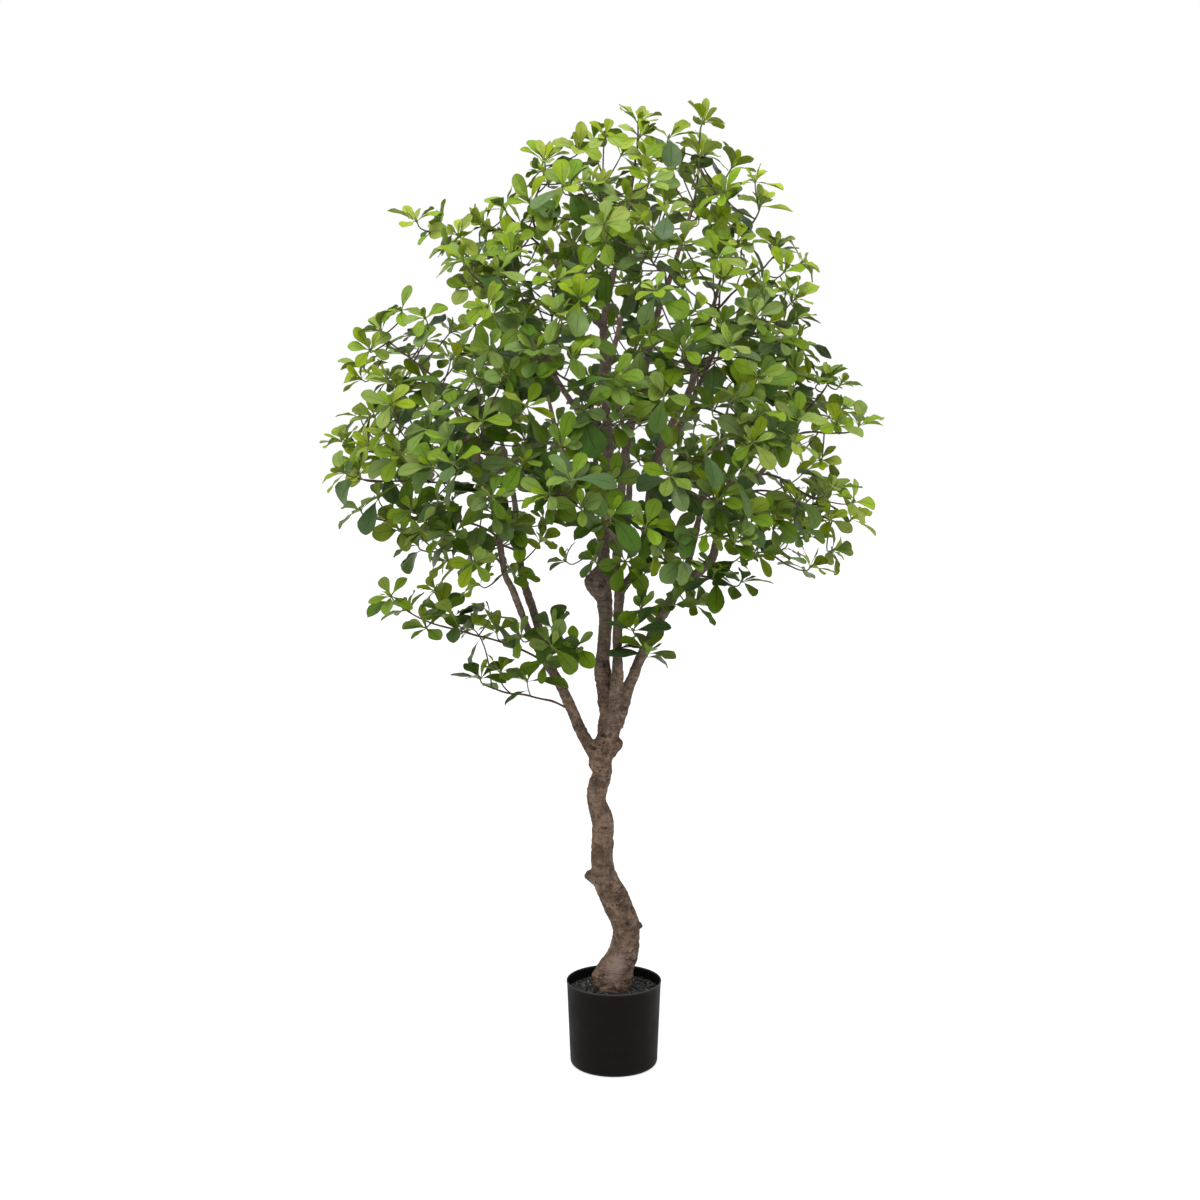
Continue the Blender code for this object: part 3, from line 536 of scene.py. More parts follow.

# %% [markdown]
# ## The bark's relief
#
# The bark is lumpy over a few centimetres, with shallow creases that run across the trunk, coarse
# pits, and some marks that can be pointed at: knots with a sunken eye whose hollow is painted dark
# as shade, pale crusty warts with a groove under them that is painted dark as a shadow, and
# patches that are worn smooth and pale, the largest of them above the foot. The two small pale
# patches on the bend are also painted highlights.
# Lumps and creases are noise that moves each point of the skin along its normal. A mark is a table
# row with a place, a size and two heights, and a mark whose eye is shallow is a wart. Noise also
# bends the marks' outlines, because round ones look like buttons.
#
# The same function also says how pitted, sunken or crusty the skin is at each point. The numbers
# go into attributes, so that the bark's colour can change just where the relief does, and so that
# the sunken eyes and the grooves under the warts can be painted dark as shade.

# %% Shape the bark
# Each mark: x, y, z and radius in millimetres, how far its ring stands out and its eye sinks in.
MARKS = (
    (9, -31, 326, 9, 0.9, 3.4), (22, -29, 318, 7, 1.2, 0.4), (26, -31, 276, 8, 2.6, 2.0),
    (-4, -28, 350, 8, 1.8, 2.6), (-12, -24, 448, 6, 2.2, 0.8), (-18, -18, 460, 6, 0.8, 2.8),
    (-17, -16, 489, 8, 2.0, 1.2), (-21, -21, 554, 9, 1.8, 0.2), (-38, -18, 610, 9, 1.2, 2.4),
    (-21, -20, 637, 9, 1.4, 3.4), (-17, 0, 766, 11, 1.0, 4.0), (-97, -27, 749, 6, 0.4, 2.4),
    (36, -20, 214, 7, 3.4, 0.2), (31, -27, 230, 6, 3.0, 0.8), (26, -29, 214, 5, 2.6, 0.6),
    (40, -14, 232, 6, 2.6, 0.6), (37, -19, 196, 6, 2.4, 0.4), (24, -34, 180, 6, 2.4, 0.4),
    (8, -37, 160, 7, 2.2, 0.4), (-20, -35, 168, 6, 2.4, 0.4), (-33, -24, 160, 7, 2.2, 0.4),
    (-28, -28, 182, 5, 2.0, 0.4), (16, -36, 166, 4, 2.2, 0.4), (-8, -38, 172, 4, 2.0, 0.4),
    (-25, 29, 420, 11, 2.2, 3.0), (8, 24, 560, 9, 1.8, 2.4), (33, 20, 300, 10, 2.6, 2.0),
    (-6, 30, 260, 9, 1.0, 3.2), (-26, 34, 520, 7, 1.3, 1.8), (30, 8, 150, 10, 2.2, 0.2),
    (-36, -6, 172, 9, 2.0, 0.3), (-2, 30, 690, 8, 1.4, 2.4), (16, -24, 845, 6, 0.8, 2.0),
    (-14, 8, 1010, 7, 0.8, 2.4), (-24, -9, 914, 10, 2.6, 3.4), (-42, -6, 926, 9, 2.0, 1.6),
    (-24, -4, 896, 9, 1.4, 0.6),
    (104, -34, 884, 7, 1.6, 1.2), (8, -22, 690, 8, 1.4, 0.6), (-12, -18, 690, 6, 0.4, 2.6),
)
# Each worn patch is also pale, and the two on the bend, at 481 and 529 mm, are painted highlights:
# x, y and z of its middle, half its width, half its height, and how worn and pale it is.
WORN_AND_HIGHLIT_PATCHES = (
    (4, -36, 200, 17, 30, 1.0), (-15, -22, 481, 8, 10, 0.55), (-38, -15, 529, 7, 12, 0.5),
    (-20, -16, 362, 15, 6, 0.45), (-6, -22, 668, 8, 14, 0.4),
)
# Heights between which the bark is roughest, in metres: the foot, the bend, the fork and the knob.
ROUGH_BELTS = ((0.14, 0.178), (0.30, 0.345), (0.56, 0.76), (0.88, 0.95))

limb_points = [point for route in limb_routes + stub_routes for point in route]
limb_tree = KDTree(len(limb_points))
for index, point in enumerate(limb_points):
    limb_tree.insert(point.xyz, index)
limb_tree.balance()


def limb_radius(place):
    """The radius of the limb that a point of the skin belongs to."""
    return max(limb_points[index][3] for _, index, _ in limb_tree.find_n(place, 4))


def worn_and_highlit_share(place):
    """How worn and pale the skin is, up to 1 in the middle of the tall patch above the foot. The
    pale patches on the bend are painted highlights.
    """
    share = 0.0
    for x, y, z, wide, tall, worn_and_highlit in WORN_AND_HIGHLIT_PATCHES:
        aside = math.hypot(place.x / MM - x, place.y / MM - y) / wide
        share = max(share, worn_and_highlit * math.exp(-(aside**2) - ((place.z / MM - z) / tall) ** 2))
    return share


def belt_share(height):
    """1 inside a rough belt of the bark, falling to 0 over 3 cm outside it."""
    outside = min(max(low - height, height - high, 0) for low, high in ROUGH_BELTS)
    return max(0.0, 1 - outside / 0.03)


def noise_way(place):
    """Noise as a direction, from three places that lie apart. Blender's own noise_vector starts
    from the clock, so it would give other shapes at each run."""
    return Vector([noise.noise(place + Vector((apart, 0, 0))) for apart in (9, 37, 71)])


def relief(place, radius):
    """How far the skin moves out, how pitted it is there, how deep in a knot's eye and in the groove
    under a wart, which are painted dark as shade, and how crusty.
    Each noise has so many waves for a metre, and a height in millimetres."""
    thick = min(1.0, radius / (24 * MM))
    worn_and_highlit = worn_and_highlit_share(place)
    rough = noise.noise(place * 24 + Vector((7, 3, 1))) * 0.5 + 0.5
    rough = min(1.0, max(0.0, rough * 0.9 - 0.15 + 0.5 * belt_share(place.z))) * (1 - worn_and_highlit)
    lumps = noise.noise(place * 42) * 2.4 + noise.noise(place * 95) * 1.5
    creases = noise.noise(Vector((place.x * 60, place.y * 60, place.z * 210))) * 1.6
    warts = noise.noise(place * 150) * 1.3 * rough
    grain = noise.noise(place * 300) * 0.75 * rough
    out = lumps * thick + (creases * 0.6 + warts + grain) * min(1.0, 0.25 + thick)
    out *= 1 - 0.7 * worn_and_highlit
    pits = crust = 0.0
    warped = place + noise_way(place * 120) * 4.5 * MM
    for x, y, z, size, ring, eye in MARKS:
        apart = warped - Vector((x, y, z)) * MM
        apart.z *= 1.3
        away = apart.length / (size * MM)
        if away > 2.4:
            continue
        middle = math.exp(-((away / 0.6) ** 2))
        if eye >= 1:
            out += ring * math.exp(-(((away - 0.85) / 0.35) ** 2))
            out -= eye * math.exp(-((away / 0.5) ** 2))
            pits = max(pits, middle * min(1.0, eye / 2.4))
        else:
            # Painted shadow: the groove under a wart is kept to its lower side, and its share goes
            # into the eye attribute, which paints it dark.
            under = 0.5 - 0.5 * apart.z / max(apart.length, 0.1 * MM)
            shaded_groove = math.exp(-(((away - 1.4) / 0.35) ** 2)) * min(1.0, ring / 2.4) * under
            out += ring * math.exp(-((away / 0.85) ** 2)) - 0.8 * shaded_groove
            pits = max(pits, 0.6 * shaded_groove)
            crust = max(crust, middle * min(1.0, ring / 2.4))
    return out * MM, min(1.0, rough * 0.8 + pits), pits, crust


BARK_TRIANGLES = 186000
skin = {"pitted": [], "eye": [], "crust": [], "worn_and_highlit": []}
moved = []
for vertex in trunk_mesh.vertices:
    out, *shares = relief(vertex.co, limb_radius(vertex.co))
    moved.append(vertex.co + vertex.normal * out)
    for values, share in zip(skin.values(), [*shares, worn_and_highlit_share(vertex.co)]):
        values.append(share)
for vertex, place in zip(trunk_mesh.vertices, moved):
    vertex.co = place
for name, values in skin.items():
    trunk_mesh.attributes.new(name, "FLOAT", "POINT").data.foreach_set("value", values)

relief_shape = put("relief", trunk_mesh)
thinned = relief_shape.modifiers.new("thinned", "DECIMATE")
thinned.ratio = min(1.0, BARK_TRIANGLES / triangles(trunk_mesh))
bark_mesh = finished(relief_shape)
bark_mesh.shade_smooth()
print("bark triangles:", triangles(bark_mesh))

# %% [markdown]
# The bark's colour is a warm grey-brown. Broad pale and dark clouds come first, then pale and dark
# streaks, which are the bark's own streaky tone and also painted highlight on the ridges of their
# relief and painted shade in its hollows, and painted shade in the creases of the fine wrinkles.
# Then come dark blotches in the hollows of the rough belts, small dark pits that crowd there, and a
# few pale flakes. The worn patches are pinkish and pale, and the two on the bend are painted
# highlights. The warts are crusty, the knots' sunken eyes are painted nearly black as shade, and a
# shadow is painted in the groove under each wart. The thin limbs high in the crown are greyer, so
# the colour also drifts with the height. Fine wrinkles run across the trunk.

# %% Grey-brown bark
bark, tree, shader = start_material("grey_brown_bark", 0.82, 0.12)
place = own_place(tree)
pitted = stored(tree, "pitted")
height = coordinate(tree, place, "Z")
clouds = cloud(tree, place, 34, 4, 0.62)
long_place = add(tree, "Mapping", {"Vector": place, "Scale": (1, 1, 0.4)}).outputs[0]
streaks = cloud(tree, long_place, 170, 4, 0.68)
flat_place = add(tree, "Mapping", {"Vector": place, "Scale": (0.4, 0.4, 1.7)}).outputs[0]
folds = cloud(tree, flat_place, 130, 3, 0.6)

tan = mix(tree, fade(tree, clouds, 0.38, 0.64), (0.078, 0.050, 0.033), (0.205, 0.138, 0.096))
# Painted highlight and shade: the streaks are paler where their relief stands out and darker in its
# hollows, over the bark's own streaky tone.
tan = coat(tree, tan, fade(tree, streaks, 0.5, 0.68), 0.45, (0.265, 0.192, 0.146))
tan = coat(tree, tan, fade(tree, streaks, 0.46, 0.34), 0.5, (0.040, 0.026, 0.018))
# Painted shade in the creases of the fine wrinkles, which the same noise cuts into the relief below.
tan = coat(tree, tan, fade(tree, folds, 0.5, 0.38), 0.45, (0.046, 0.030, 0.021))
tan = mix(tree, fade(tree, height, 0.6, 0.95, 0.0, 0.5), tan, (0.168, 0.134, 0.114))
blotches = fade(tree, cloud(tree, place, 110, 3, 0.6), 0.5, 0.62)
tan = coat(tree, tan, blotches, fade(tree, pitted, 0.2, 0.8, 0.05, 0.55), (0.040, 0.025, 0.017))

pits = add(tree, "TexVoronoi", {"Vector": place, "Scale": 120.0, "Randomness": 1.0})
crowd = fade(tree, cloud(tree, place, 60, 3), 0.4, 0.58)
crowd = times(tree, crowd, fade(tree, pitted, 0.15, 0.75, 0.1, 1))
spots = times(tree, fade(tree, pits.outputs["Distance"], 0.36, 0.2), crowd)
spots = times(tree, spots, fade(tree, height, 0.6, 0.8, 0.75, 0.25))
tan = mix(tree, spots, tan, (0.026, 0.015, 0.011))
flakes = fade(tree, cloud(tree, place, 190, 2), 0.58, 0.7)
tan = coat(tree, tan, flakes, fade(tree, pitted, 0.1, 0.7, 0.1, 0.5), (0.270, 0.205, 0.158))
# Pale pinkish worn patches; the two on the bend are painted highlights.
tan = coat(tree, tan, stored(tree, "worn_and_highlit"), 0.85, (0.250, 0.186, 0.158))
tan = coat(tree, tan, stored(tree, "crust"), 0.5, (0.300, 0.225, 0.160))
# Painted shade: nearly black in the knots' sunken eyes, and a painted shadow in the groove under
# each wart.
tan = coat(tree, tan, stored(tree, "eye"), 0.85, (0.018, 0.011, 0.008))

wrinkles = bump(tree, folds, 0.006, 1.0)
coarse = bump(tree, streaks, 0.002, 0.8, wrinkles)
pocked = bump(tree, sums(tree, "SUBTRACT", 1.0, spots), 0.0018, 1.0, coarse)
fine = bump(tree, cloud(tree, place, 520, 3), 0.0009, 0.8, pocked)
dress(tree, shader, tan, fade(tree, clouds, 0.3, 0.7, 0.72, 0.92), fine)
show("gnarled_trunk", bark_mesh, [bark], "trunk")
print("trunk in place")

# %% [markdown]
# ## The soil
#
# The pot is filled with dark potting mix to 2 cm under the rim. It is a bed with lumps and, on
# it, loose crumbs of every size up to about a centimetre, with a few pale grains of perlite. A
# particle system could strew them, but here each crumb is a small rough stone in one mesh, made by
# moving the corners of an icosahedron, which keeps the piece plain to move and to print.

# %% Fill the pot with soil
# Sizes of the bed in millimetres. It narrows to its underside by a share of its radius.
SOIL_TOP = 143
SOIL_UNDERSIDE = 8
BED_RADIUS = 86.4
BED_NARROWS_TO = 0.93
MOUND = 3.0
RINGS, SPOKES = 34, 96


def bed_level(x, y, radius, lumpy=1):
    """The height of the bed in millimetres: a low mound with coarse and fine lumps."""
    lumps = noise.noise(Vector((x, y, 3)) * 0.07) * 3.2 + noise.noise(Vector((x, y, 9)) * 0.3) * 1.6
    return SOIL_TOP + MOUND * max(0.0, 1 - (radius / BED_RADIUS) ** 2) + lumps * lumpy


bed_corners, bed_faces = [(0, 0, SOIL_TOP * MM)], []
for ring in range(1, RINGS + 1):
    radius = BED_RADIUS * ring / RINGS
    for spoke in range(SPOKES):
        turn = math.tau * (spoke + 0.5 * (ring % 2)) / SPOKES
        x, y = radius * math.cos(turn), radius * math.sin(turn)
        bed_corners.append((x * MM, y * MM, bed_level(x, y, radius, ring < RINGS) * MM))
rim_start = (RINGS - 1) * SPOKES + 1
skirt_start = len(bed_corners)
for x, y, _ in bed_corners[rim_start:skirt_start]:
    bed_corners.append((x * BED_NARROWS_TO, y * BED_NARROWS_TO, SOIL_UNDERSIDE * MM))
for spoke in range(SPOKES):
    after = (spoke + 1) % SPOKES
    bed_faces.append((0, 1 + spoke, 1 + after))
    for start in range(1, skirt_start, SPOKES):
        below = start + SPOKES
        bed_faces.append((start + spoke, below + spoke, below + after, start + after))
bed_faces.append(tuple(range(skirt_start + SPOKES - 1, skirt_start - 1, -1)))
print("bed faces:", len(bed_faces))

# %% Strew the crumbs
CRUMBS = 1500
# None lies nearer than this to the middle of the trunk's foot, which is 4 mm left of the pot's.
CRUMBS_KEEP_OFF = 33
golden = (1 + 5**0.5) / 2
STONE = [Vector(corner).normalized() for corner in (
    (-1, golden, 0), (1, golden, 0), (-1, -golden, 0), (1, -golden, 0),
    (0, -1, golden), (0, 1, golden), (0, -1, -golden), (0, 1, -golden),
    (golden, 0, -1), (golden, 0, 1), (-golden, 0, -1), (-golden, 0, 1),
)]
STONE_FACES = (
    (0, 11, 5), (0, 5, 1), (0, 1, 7), (0, 7, 10), (0, 10, 11), (1, 5, 9), (5, 11, 4),
    (11, 10, 2), (10, 7, 6), (7, 1, 8), (3, 9, 4), (3, 4, 2), (3, 2, 6), (3, 6, 8), (3, 8, 9),
    (4, 9, 5), (2, 4, 11), (6, 2, 10), (8, 6, 7), (9, 8, 1),
)
# Where the few grains of perlite lie, in millimetres.
PALE_SPOTS = (
    (-71, 28), (-49, 32), (-45, 14), (-51, 42), (-48, 50), (38, 40), (62, -12), (-20, -60),
)

pale_faces = set()
rng = random.Random(5)
for number in range(CRUMBS):
    size = rng.choice((1.3, 1.8, 2.3, 2.8, 3.6)) * rng.uniform(0.8, 1.2)
    radius = (BED_RADIUS - size - 0.5) * math.sqrt(rng.random())
    turn = rng.uniform(0, math.tau)
    x, y = radius * math.cos(turn), radius * math.sin(turn)
    pale = number < len(PALE_SPOTS)
    if pale:
        (x, y), size = PALE_SPOTS[number], rng.uniform(1.2, 1.9)
        radius = math.hypot(x, y)
    if math.hypot(x + 4, y) < CRUMBS_KEEP_OFF:
        continue
    raised = size * (1.3 if pale else rng.uniform(0.0, 0.6))
    middle = Vector((x, y, bed_level(x, y, radius) + raised))
    stretch = Vector((rng.uniform(0.7, 1.5), rng.uniform(0.7, 1.3), rng.uniform(0.5, 1.0))) * size
    spin = rng.uniform(0, math.tau)
    first = len(bed_corners)
    for corner in STONE:
        jut = corner * rng.uniform(0.75, 1.2)
        x, y, z = jut.x * stretch.x, jut.y * stretch.y, jut.z * stretch.z
        turned_x = x * math.cos(spin) - y * math.sin(spin)
        turned_y = x * math.sin(spin) + y * math.cos(spin)
        bed_corners.append(tuple((middle + Vector((turned_x, turned_y, z))) * MM))
    if pale:
        pale_faces.update(range(len(bed_faces), len(bed_faces) + len(STONE_FACES)))
    bed_faces += [tuple(first + index for index in face) for face in STONE_FACES]

soil_mesh = bpy.data.meshes.new("soil")
soil_mesh.from_pydata(bed_corners, [], bed_faces)
print("soil triangles:", triangles(soil_mesh))

# %% [markdown]
# The moist mix is nearly black, and its hard crumbs glint a little. Cells of a Voronoi texture
# give each few millimetres a shade of their own, as bits of bark and peat have. The pale grains
# are a second material on the faces of a few crumbs.

# %% Peat and perlite
peat, tree, shader = start_material("dark_peat", 0.6, 0.35)
place = own_place(tree)
shade = cloud(tree, place, 240, 4, 0.7)
brown = mix(tree, fade(tree, shade, 0.42, 0.7), (0.0020, 0.0020, 0.0022), (0.040, 0.036, 0.034))
bits = add(tree, "TexVoronoi", {"Vector": place, "Scale": 230.0})
bit_shade = coordinate(tree, bits.outputs["Color"], "X")
brown = mix(tree, fade(tree, bit_shade, 0.72, 0.95, 0.0, 0.85), brown, (0.120, 0.108, 0.100))
brown = mix(tree, fade(tree, bit_shade, 0.45, 0.1, 0.0, 0.8), brown, (0.0012, 0.0012, 0.0013))
glint = fade(tree, shade, 0.35, 0.65, 0.75, 0.42)
dress(tree, shader, brown, glint, bump(tree, cloud(tree, place, 900, 4, 0.7), 0.0012, 0.9))

perlite, tree, shader = start_material("pale_perlite", 0.7, 0.3)
chalky = fade(tree, cloud(tree, own_place(tree), 700, 2), 0.3, 0.7)
dress(tree, shader, mix(tree, chalky, (0.30, 0.29, 0.27), (0.75, 0.74, 0.71)))
show("potting_soil", soil_mesh, [peat, perlite], "soil")
for face in pale_faces:
    soil_mesh.polygons[face].material_index = 1
print("pale crumbs:", len(pale_faces) // len(STONE_FACES))

# %% [markdown]
# ## How the crown grows
#
# A real crown can't be drawn leaf by leaf. It is grown: each stem has a limb that carries it, the
# share of the limb's length where it leaves, and the place that its tip reaches. These follow the
# real tree where its front shows them, and go on in the same way behind. Where a side shoot is
# known too, its share of the stem and its place follow. Everything finer is drawn by lot with a
# fixed seed, so it is the same each time.
#
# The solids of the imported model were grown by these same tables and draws, so the leaves that they
# have are found again here, in the same places.

# %% Where the stems go
STEMS = (
    # The top of the crown
    ("middle_left", 1.00, (159, -20, 1752), 0.60, (96, -38, 1722)),
    ("leader", 1.00, (43, 10, 1756)),
    ("high_back", 1.00, (-40, 110, 1742)),
    ("high_left", 1.00, (-126, -10, 1685)),
    ("middle_left", 0.90, (213, 0, 1676), 0.70, (152, -46, 1688)),
    ("middle_right", 1.00, (263, -20, 1604)),
    ("high_left", 0.72, (-196, -60, 1594)),
    ("leader", 0.90, (-26, -150, 1622)),
    ("high_back", 0.70, (105, 190, 1640)),
    # The left side
    ("front_left", 1.00, (-312, -60, 1558), 0.55, (-270, -80, 1500)),
    ("front_left", 0.86, (-215, -160, 1450)),
    ("left_outer", 1.00, (-422, -40, 1380)),
    ("left_inner", 1.00, (-465, 35, 1318)),
    ("left_outer", 0.86, (-385, -125, 1217)),
    ("left_inner", 0.80, (-499, 20, 1180)),
    ("left_outer", 0.62, (-488, -60, 1125)),
    ("left_outer", 0.48, (-466, -20, 1055)),
    ("left_outer", 0.36, (-279, -170, 1024)),
    ("left_inner", 0.42, (-372, 75, 985)),
    ("left", 0.82, (-379, -25, 871), 0.55, (-295, -45, 862)),
    ("left", 0.42, (-248, -30, 744), 0.45, (-161, -42, 741)),
    ("left", 0.95, (-112, -78, 842)),
    # The right side
    ("middle_right", 0.88, (296, 30, 1528)),
    ("front_right", 1.00, (326, -60, 1402)),
    ("middle_right", 0.74, (344, 80, 1345)),
    ("right", 1.00, (389, -20, 1294), 0.40, (318, -66, 1256)),
    ("right", 0.92, (452, 10, 1211)),
    ("right", 0.80, (375, -95, 1085)),
    ("right", 0.74, (443, 25, 1037)),
    ("right", 0.60, (362, -15, 950), 0.50, (322, 0, 998)),
    ("right", 0.47, (231, -60, 927), 0.60, (181, -82, 946)),
    ("right", 0.33, (60, -60, 796), 0.50, (34, -68, 838)),
    # The front
    ("middle_left", 0.78, (62, -215, 1500)),
    ("front_left", 0.62, (-100, -240, 1450)),
    ("front_right", 0.82, (182, -235, 1450)),
    ("front", 1.00, (-134, -320, 1330)),
    ("front_right", 0.60, (110, -330, 1330)),
    ("front", 0.86, (0, -345, 1225)),
    ("front_right", 0.45, (238, -280, 1225)),
    ("left_outer", 0.74, (-225, -300, 1215)),
    ("front", 0.66, (-110, -330, 1095)),
    ("front", 0.50, (50, -300, 1040)),
    ("right", 0.66, (170, -290, 1085)),
    # The back
    ("high_back", 0.55, (-60, 270, 1560)),
    ("back", 1.00, (60, 380, 1400)),
    ("back_left", 1.00, (-200, 310, 1400)),
    ("back_right", 1.00, (270, 290, 1350)),
    ("back", 0.82, (-60, 410, 1220)),
    ("back_left", 0.66, (-250, 280, 1130)),
    ("back_right", 0.76, (170, 360, 1150)),
    ("back_right", 0.60, (340, 220, 1080)),
)
# The crown's outline at some heights: height, least x, greatest x and half its depth along y.
CROWN_OUTLINE = (
    (700, -220, 60, 80), (800, -380, 110, 150), (950, -420, 370, 300), (1050, -470, 440, 380),
    (1200, -500, 450, 420), (1400, -425, 345, 390), (1600, -310, 265, 270), (1715, -140, 180, 150),
)
# The outline of its bays and boughs round the rosettes, as x and height on the plane y = 0, where
# it is seen from the viewpoint. That is the camera's place to the millimetre.
VIEWPOINT = (-26, -3085, 1190)
CROWN_FRONT = (
    (-307, 1561), (-236, 1573), (-172, 1609), (-146, 1692), (-99, 1689), (-63, 1707), (-44, 1733),
    (46, 1753), (82, 1749), (126, 1728), (176, 1751), (184, 1698), (231, 1671), (250, 1644),
    (243, 1596), (305, 1532), (321, 1465), (335, 1357), (350, 1326), (392, 1297), (448, 1248),
    (408, 1211), (379, 1147), (391, 1101), (441, 1070), (399, 1036), (389, 977), (344, 992),
    (298, 975), (243, 962), (160, 906), (108, 878), (67, 813), (44, 822), (70, 906), (57, 962),
    (11, 977), (-26, 975), (-63, 966), (-100, 990), (-137, 997), (-184, 981), (-230, 962),
    (-251, 916), (-238, 859), (-175, 816), (-110, 837), (-90, 805), (-129, 771), (-146, 741),
    (-213, 752), (-254, 775), (-278, 831), (-324, 850), (-370, 876), (-324, 897), (-308, 962),
    (-332, 994), (-397, 1018), (-424, 1040), (-480, 1040), (-473, 1110), (-506, 1165),
    (-496, 1211), (-464, 1257), (-472, 1302), (-448, 1348), (-433, 1393), (-392, 1409),
    (-346, 1406), (-301, 1380), (-255, 1393), (-240, 1438), (-264, 1474), (-300, 1510),
)
print("stems:", len(STEMS), "sides of the outline:", len(CROWN_FRONT))

# %% [markdown]
# The sizes of stems, shoots and leaves come next. A leaf is spoon-shaped: a narrow stalk end, its
# widest place two thirds along, and a blunt tip. The small leaves are about 52 by 28 mm, and the
# old ones lower on each shoot 76 by 40 mm.

# %% Sizes in the crown
BLADE_KEPT_APART = 1.0 * MM
HUB_RADIUS = 2.6 * MM
HUB_SLOTS = 5
STALK_SHARE = 0.12
STALK_HALF_WIDTH = 1.1 * MM
SMALL_LEAF = (52 * MM, 28 * MM)
LARGE_LEAF = (76 * MM, 40 * MM)
LEAF_WIDEST = 0.66
BLADE_SHARES = (0.0, 0.68, 1.0)
TIP_SHARE_OF_WIDTH = 0.42
# What a leaf tries, in degrees of lift and of swing, to stand clear of its neighbours.
LEAF_BENDS = ((0, 0), (14, 0), (-14, 0), (0, 8), (0, -8), (26, 0), (-26, 0), (38, 5))
STEM_RADIUS = (2.5 * MM, 1.5 * MM)
STEM_STEPS = (0, 0.32, 0.66, 1)
SHOOT_RADIUS = (0.9 * MM, 1.2 * MM)
SHOOT_REACH = (58 * MM, 92 * MM)
SHOOT_SHARES = (0.55, 0.85)
SHOOT_TRIES = 80
STEM_TRIES = 24
CLUMP_SPACING = 60 * MM
NECK = 9 * MM
LIMB_KEPT_CLEAR = 2 * MM
END_CLUMP = {"leaves": 5, "large": 0}
SIDE_CLUMP = {"leaves": 4, "large": 1}
SEED = 23


def along(knots, share):
    """The place, direction and radius at a share of a route's length."""
    lengths = [(b.xyz - a.xyz).length for a, b in zip(knots, knots[1:])]
    left = share * sum(lengths)
    for a, b, length in zip(knots, knots[1:], lengths):
        if left <= length or b is knots[-1]:
            spot = a.lerp(b, min(1.0, left / length))
            return spot.xyz, (b.xyz - a.xyz).normalized(), spot[3]
        left -= length


def bezier(ends, handles, share):
    """A point of the cubic curve between two ends with two handles."""
    (a, d), (b, c), t, s = ends, handles, share, 1 - share
    return a * s**3 + b * 3 * s * s * t + c * 3 * s * t * t + d * t**3


def across(direction, near):
    """The part of near that is square to direction, with length 1."""
    return (near - direction * near.dot(direction)).normalized()


def sideways(way, turn):
    """A direction square to a way, turned round it from straight up."""
    up = across(way, Vector((0, 0, 1)))
    return up * math.cos(turn) + way.cross(up) * math.sin(turn)


print("leaf sizes in mm:", [round(side / MM) for side in SMALL_LEAF + LARGE_LEAF])

# %% [markdown]
# Stems shouldn't grow through each other, and leaves shouldn't cut their neighbours. Each thing
# that has found its place leaves a plain box or tube there, and a newcomer tries other bends
# until it crosses none of them. Blender's bounding-volume trees answer that question quickly.

# %% Keep the stems apart
def tube_faces(rings, sides):
    """The triangles of a closed tube whose corners are listed ring by ring."""
    faces = []
    for ring in range(rings - 1):
        for k in range(sides):
            a, b = ring * sides + k, ring * sides + (k + 1) % sides
            faces += [(a, b, b + sides), (a, b + sides, a + sides)]
    last = (rings - 1) * sides
    for k in range(1, sides - 1):
        faces += [(0, k + 1, k), (last, last + k, last + k + 1)]
    return faces


def prism(points, radii, sides=5):
    """A closed tube of flat sides round a row of points, as corners and triangles."""
    corners = []
    for i, (point, radius) in enumerate(zip(points, radii)):
        ahead = points[min(i + 1, len(points) - 1)] - points[max(i - 1, 0)]
        ahead.normalize()
        side = across(ahead, Vector((0.31, 0.87, 0.38)))
        other = ahead.cross(side)
        for k in range(sides):
            turn = math.tau * k / sides
            corners.append(point + (side * math.cos(turn) + other * math.sin(turn)) * radius)
    return corners, tube_faces(len(points), sides)


def thick_blade(stations):
    """A blade's box, BLADE_KEPT_APART above and below each of its stations."""
    corners = []
    for centre, side, up, half in stations:
        for hand, above in ((-1, -1), (1, -1), (1, 1), (-1, 1)):
            corners.append(centre + side * half * hand + up * BLADE_KEPT_APART * above)
    return corners, tube_faces(len(stations), 4)


class Room:
    """What already stands in the crown. A shape is clear if it crosses nothing of another owner,
    and, where it has an outer part, if that crosses no outer part of its own owner."""

    def __init__(self):
        self.things = []

    def measured(self, shape):
        """A shape's middle, its reach and its tree of faces."""
        corners, faces = shape
        centre = sum(corners, Vector((0, 0, 0))) / len(corners)
        reach = max((corner - centre).length for corner in corners)
        return centre, reach, BVHTree.FromPolygons(corners, faces)

    def is_clear(self, owner, whole, outer=None):
        """Whether a newcomer is clear. Shapes too far apart to touch are passed over."""
        mine = self.measured(whole)
        mine_outer = self.measured(outer) if outer else None
        for other, theirs, theirs_outer in self.things:
            if (mine[0] - theirs[0]).length > mine[1] + theirs[1]:
                continue
            if other == owner:
                if mine_outer and theirs_outer and mine_outer[2].overlap(theirs_outer[2]):
                    return False
            elif mine[2].overlap(theirs[2]):
                return False
        return True

    def add(self, owner, whole, outer=None):
        """Lets a shape stand here."""
        mine_outer = self.measured(outer) if outer else None
        self.things.append((owner, self.measured(whole), mine_outer))


print("room for the crown")

# %% [markdown]
# A stem leaves its limb, arches out and up, and ends in a clump. The clump is a rosette: leaves
# set round a hub, that look up and away from the middle of the tree.

# %% Grow stems and rosettes
def leaving_way(limb, share, end, sway):
    """A stem at the tip of a limb carries straight on, and one at its side leans to its end."""
    start, limb_way, _ = along(limb, share)
    if share == 1:
        return limb_way
    return (limb_way * 0.75 + (end - start).normalized() + sway).normalized()


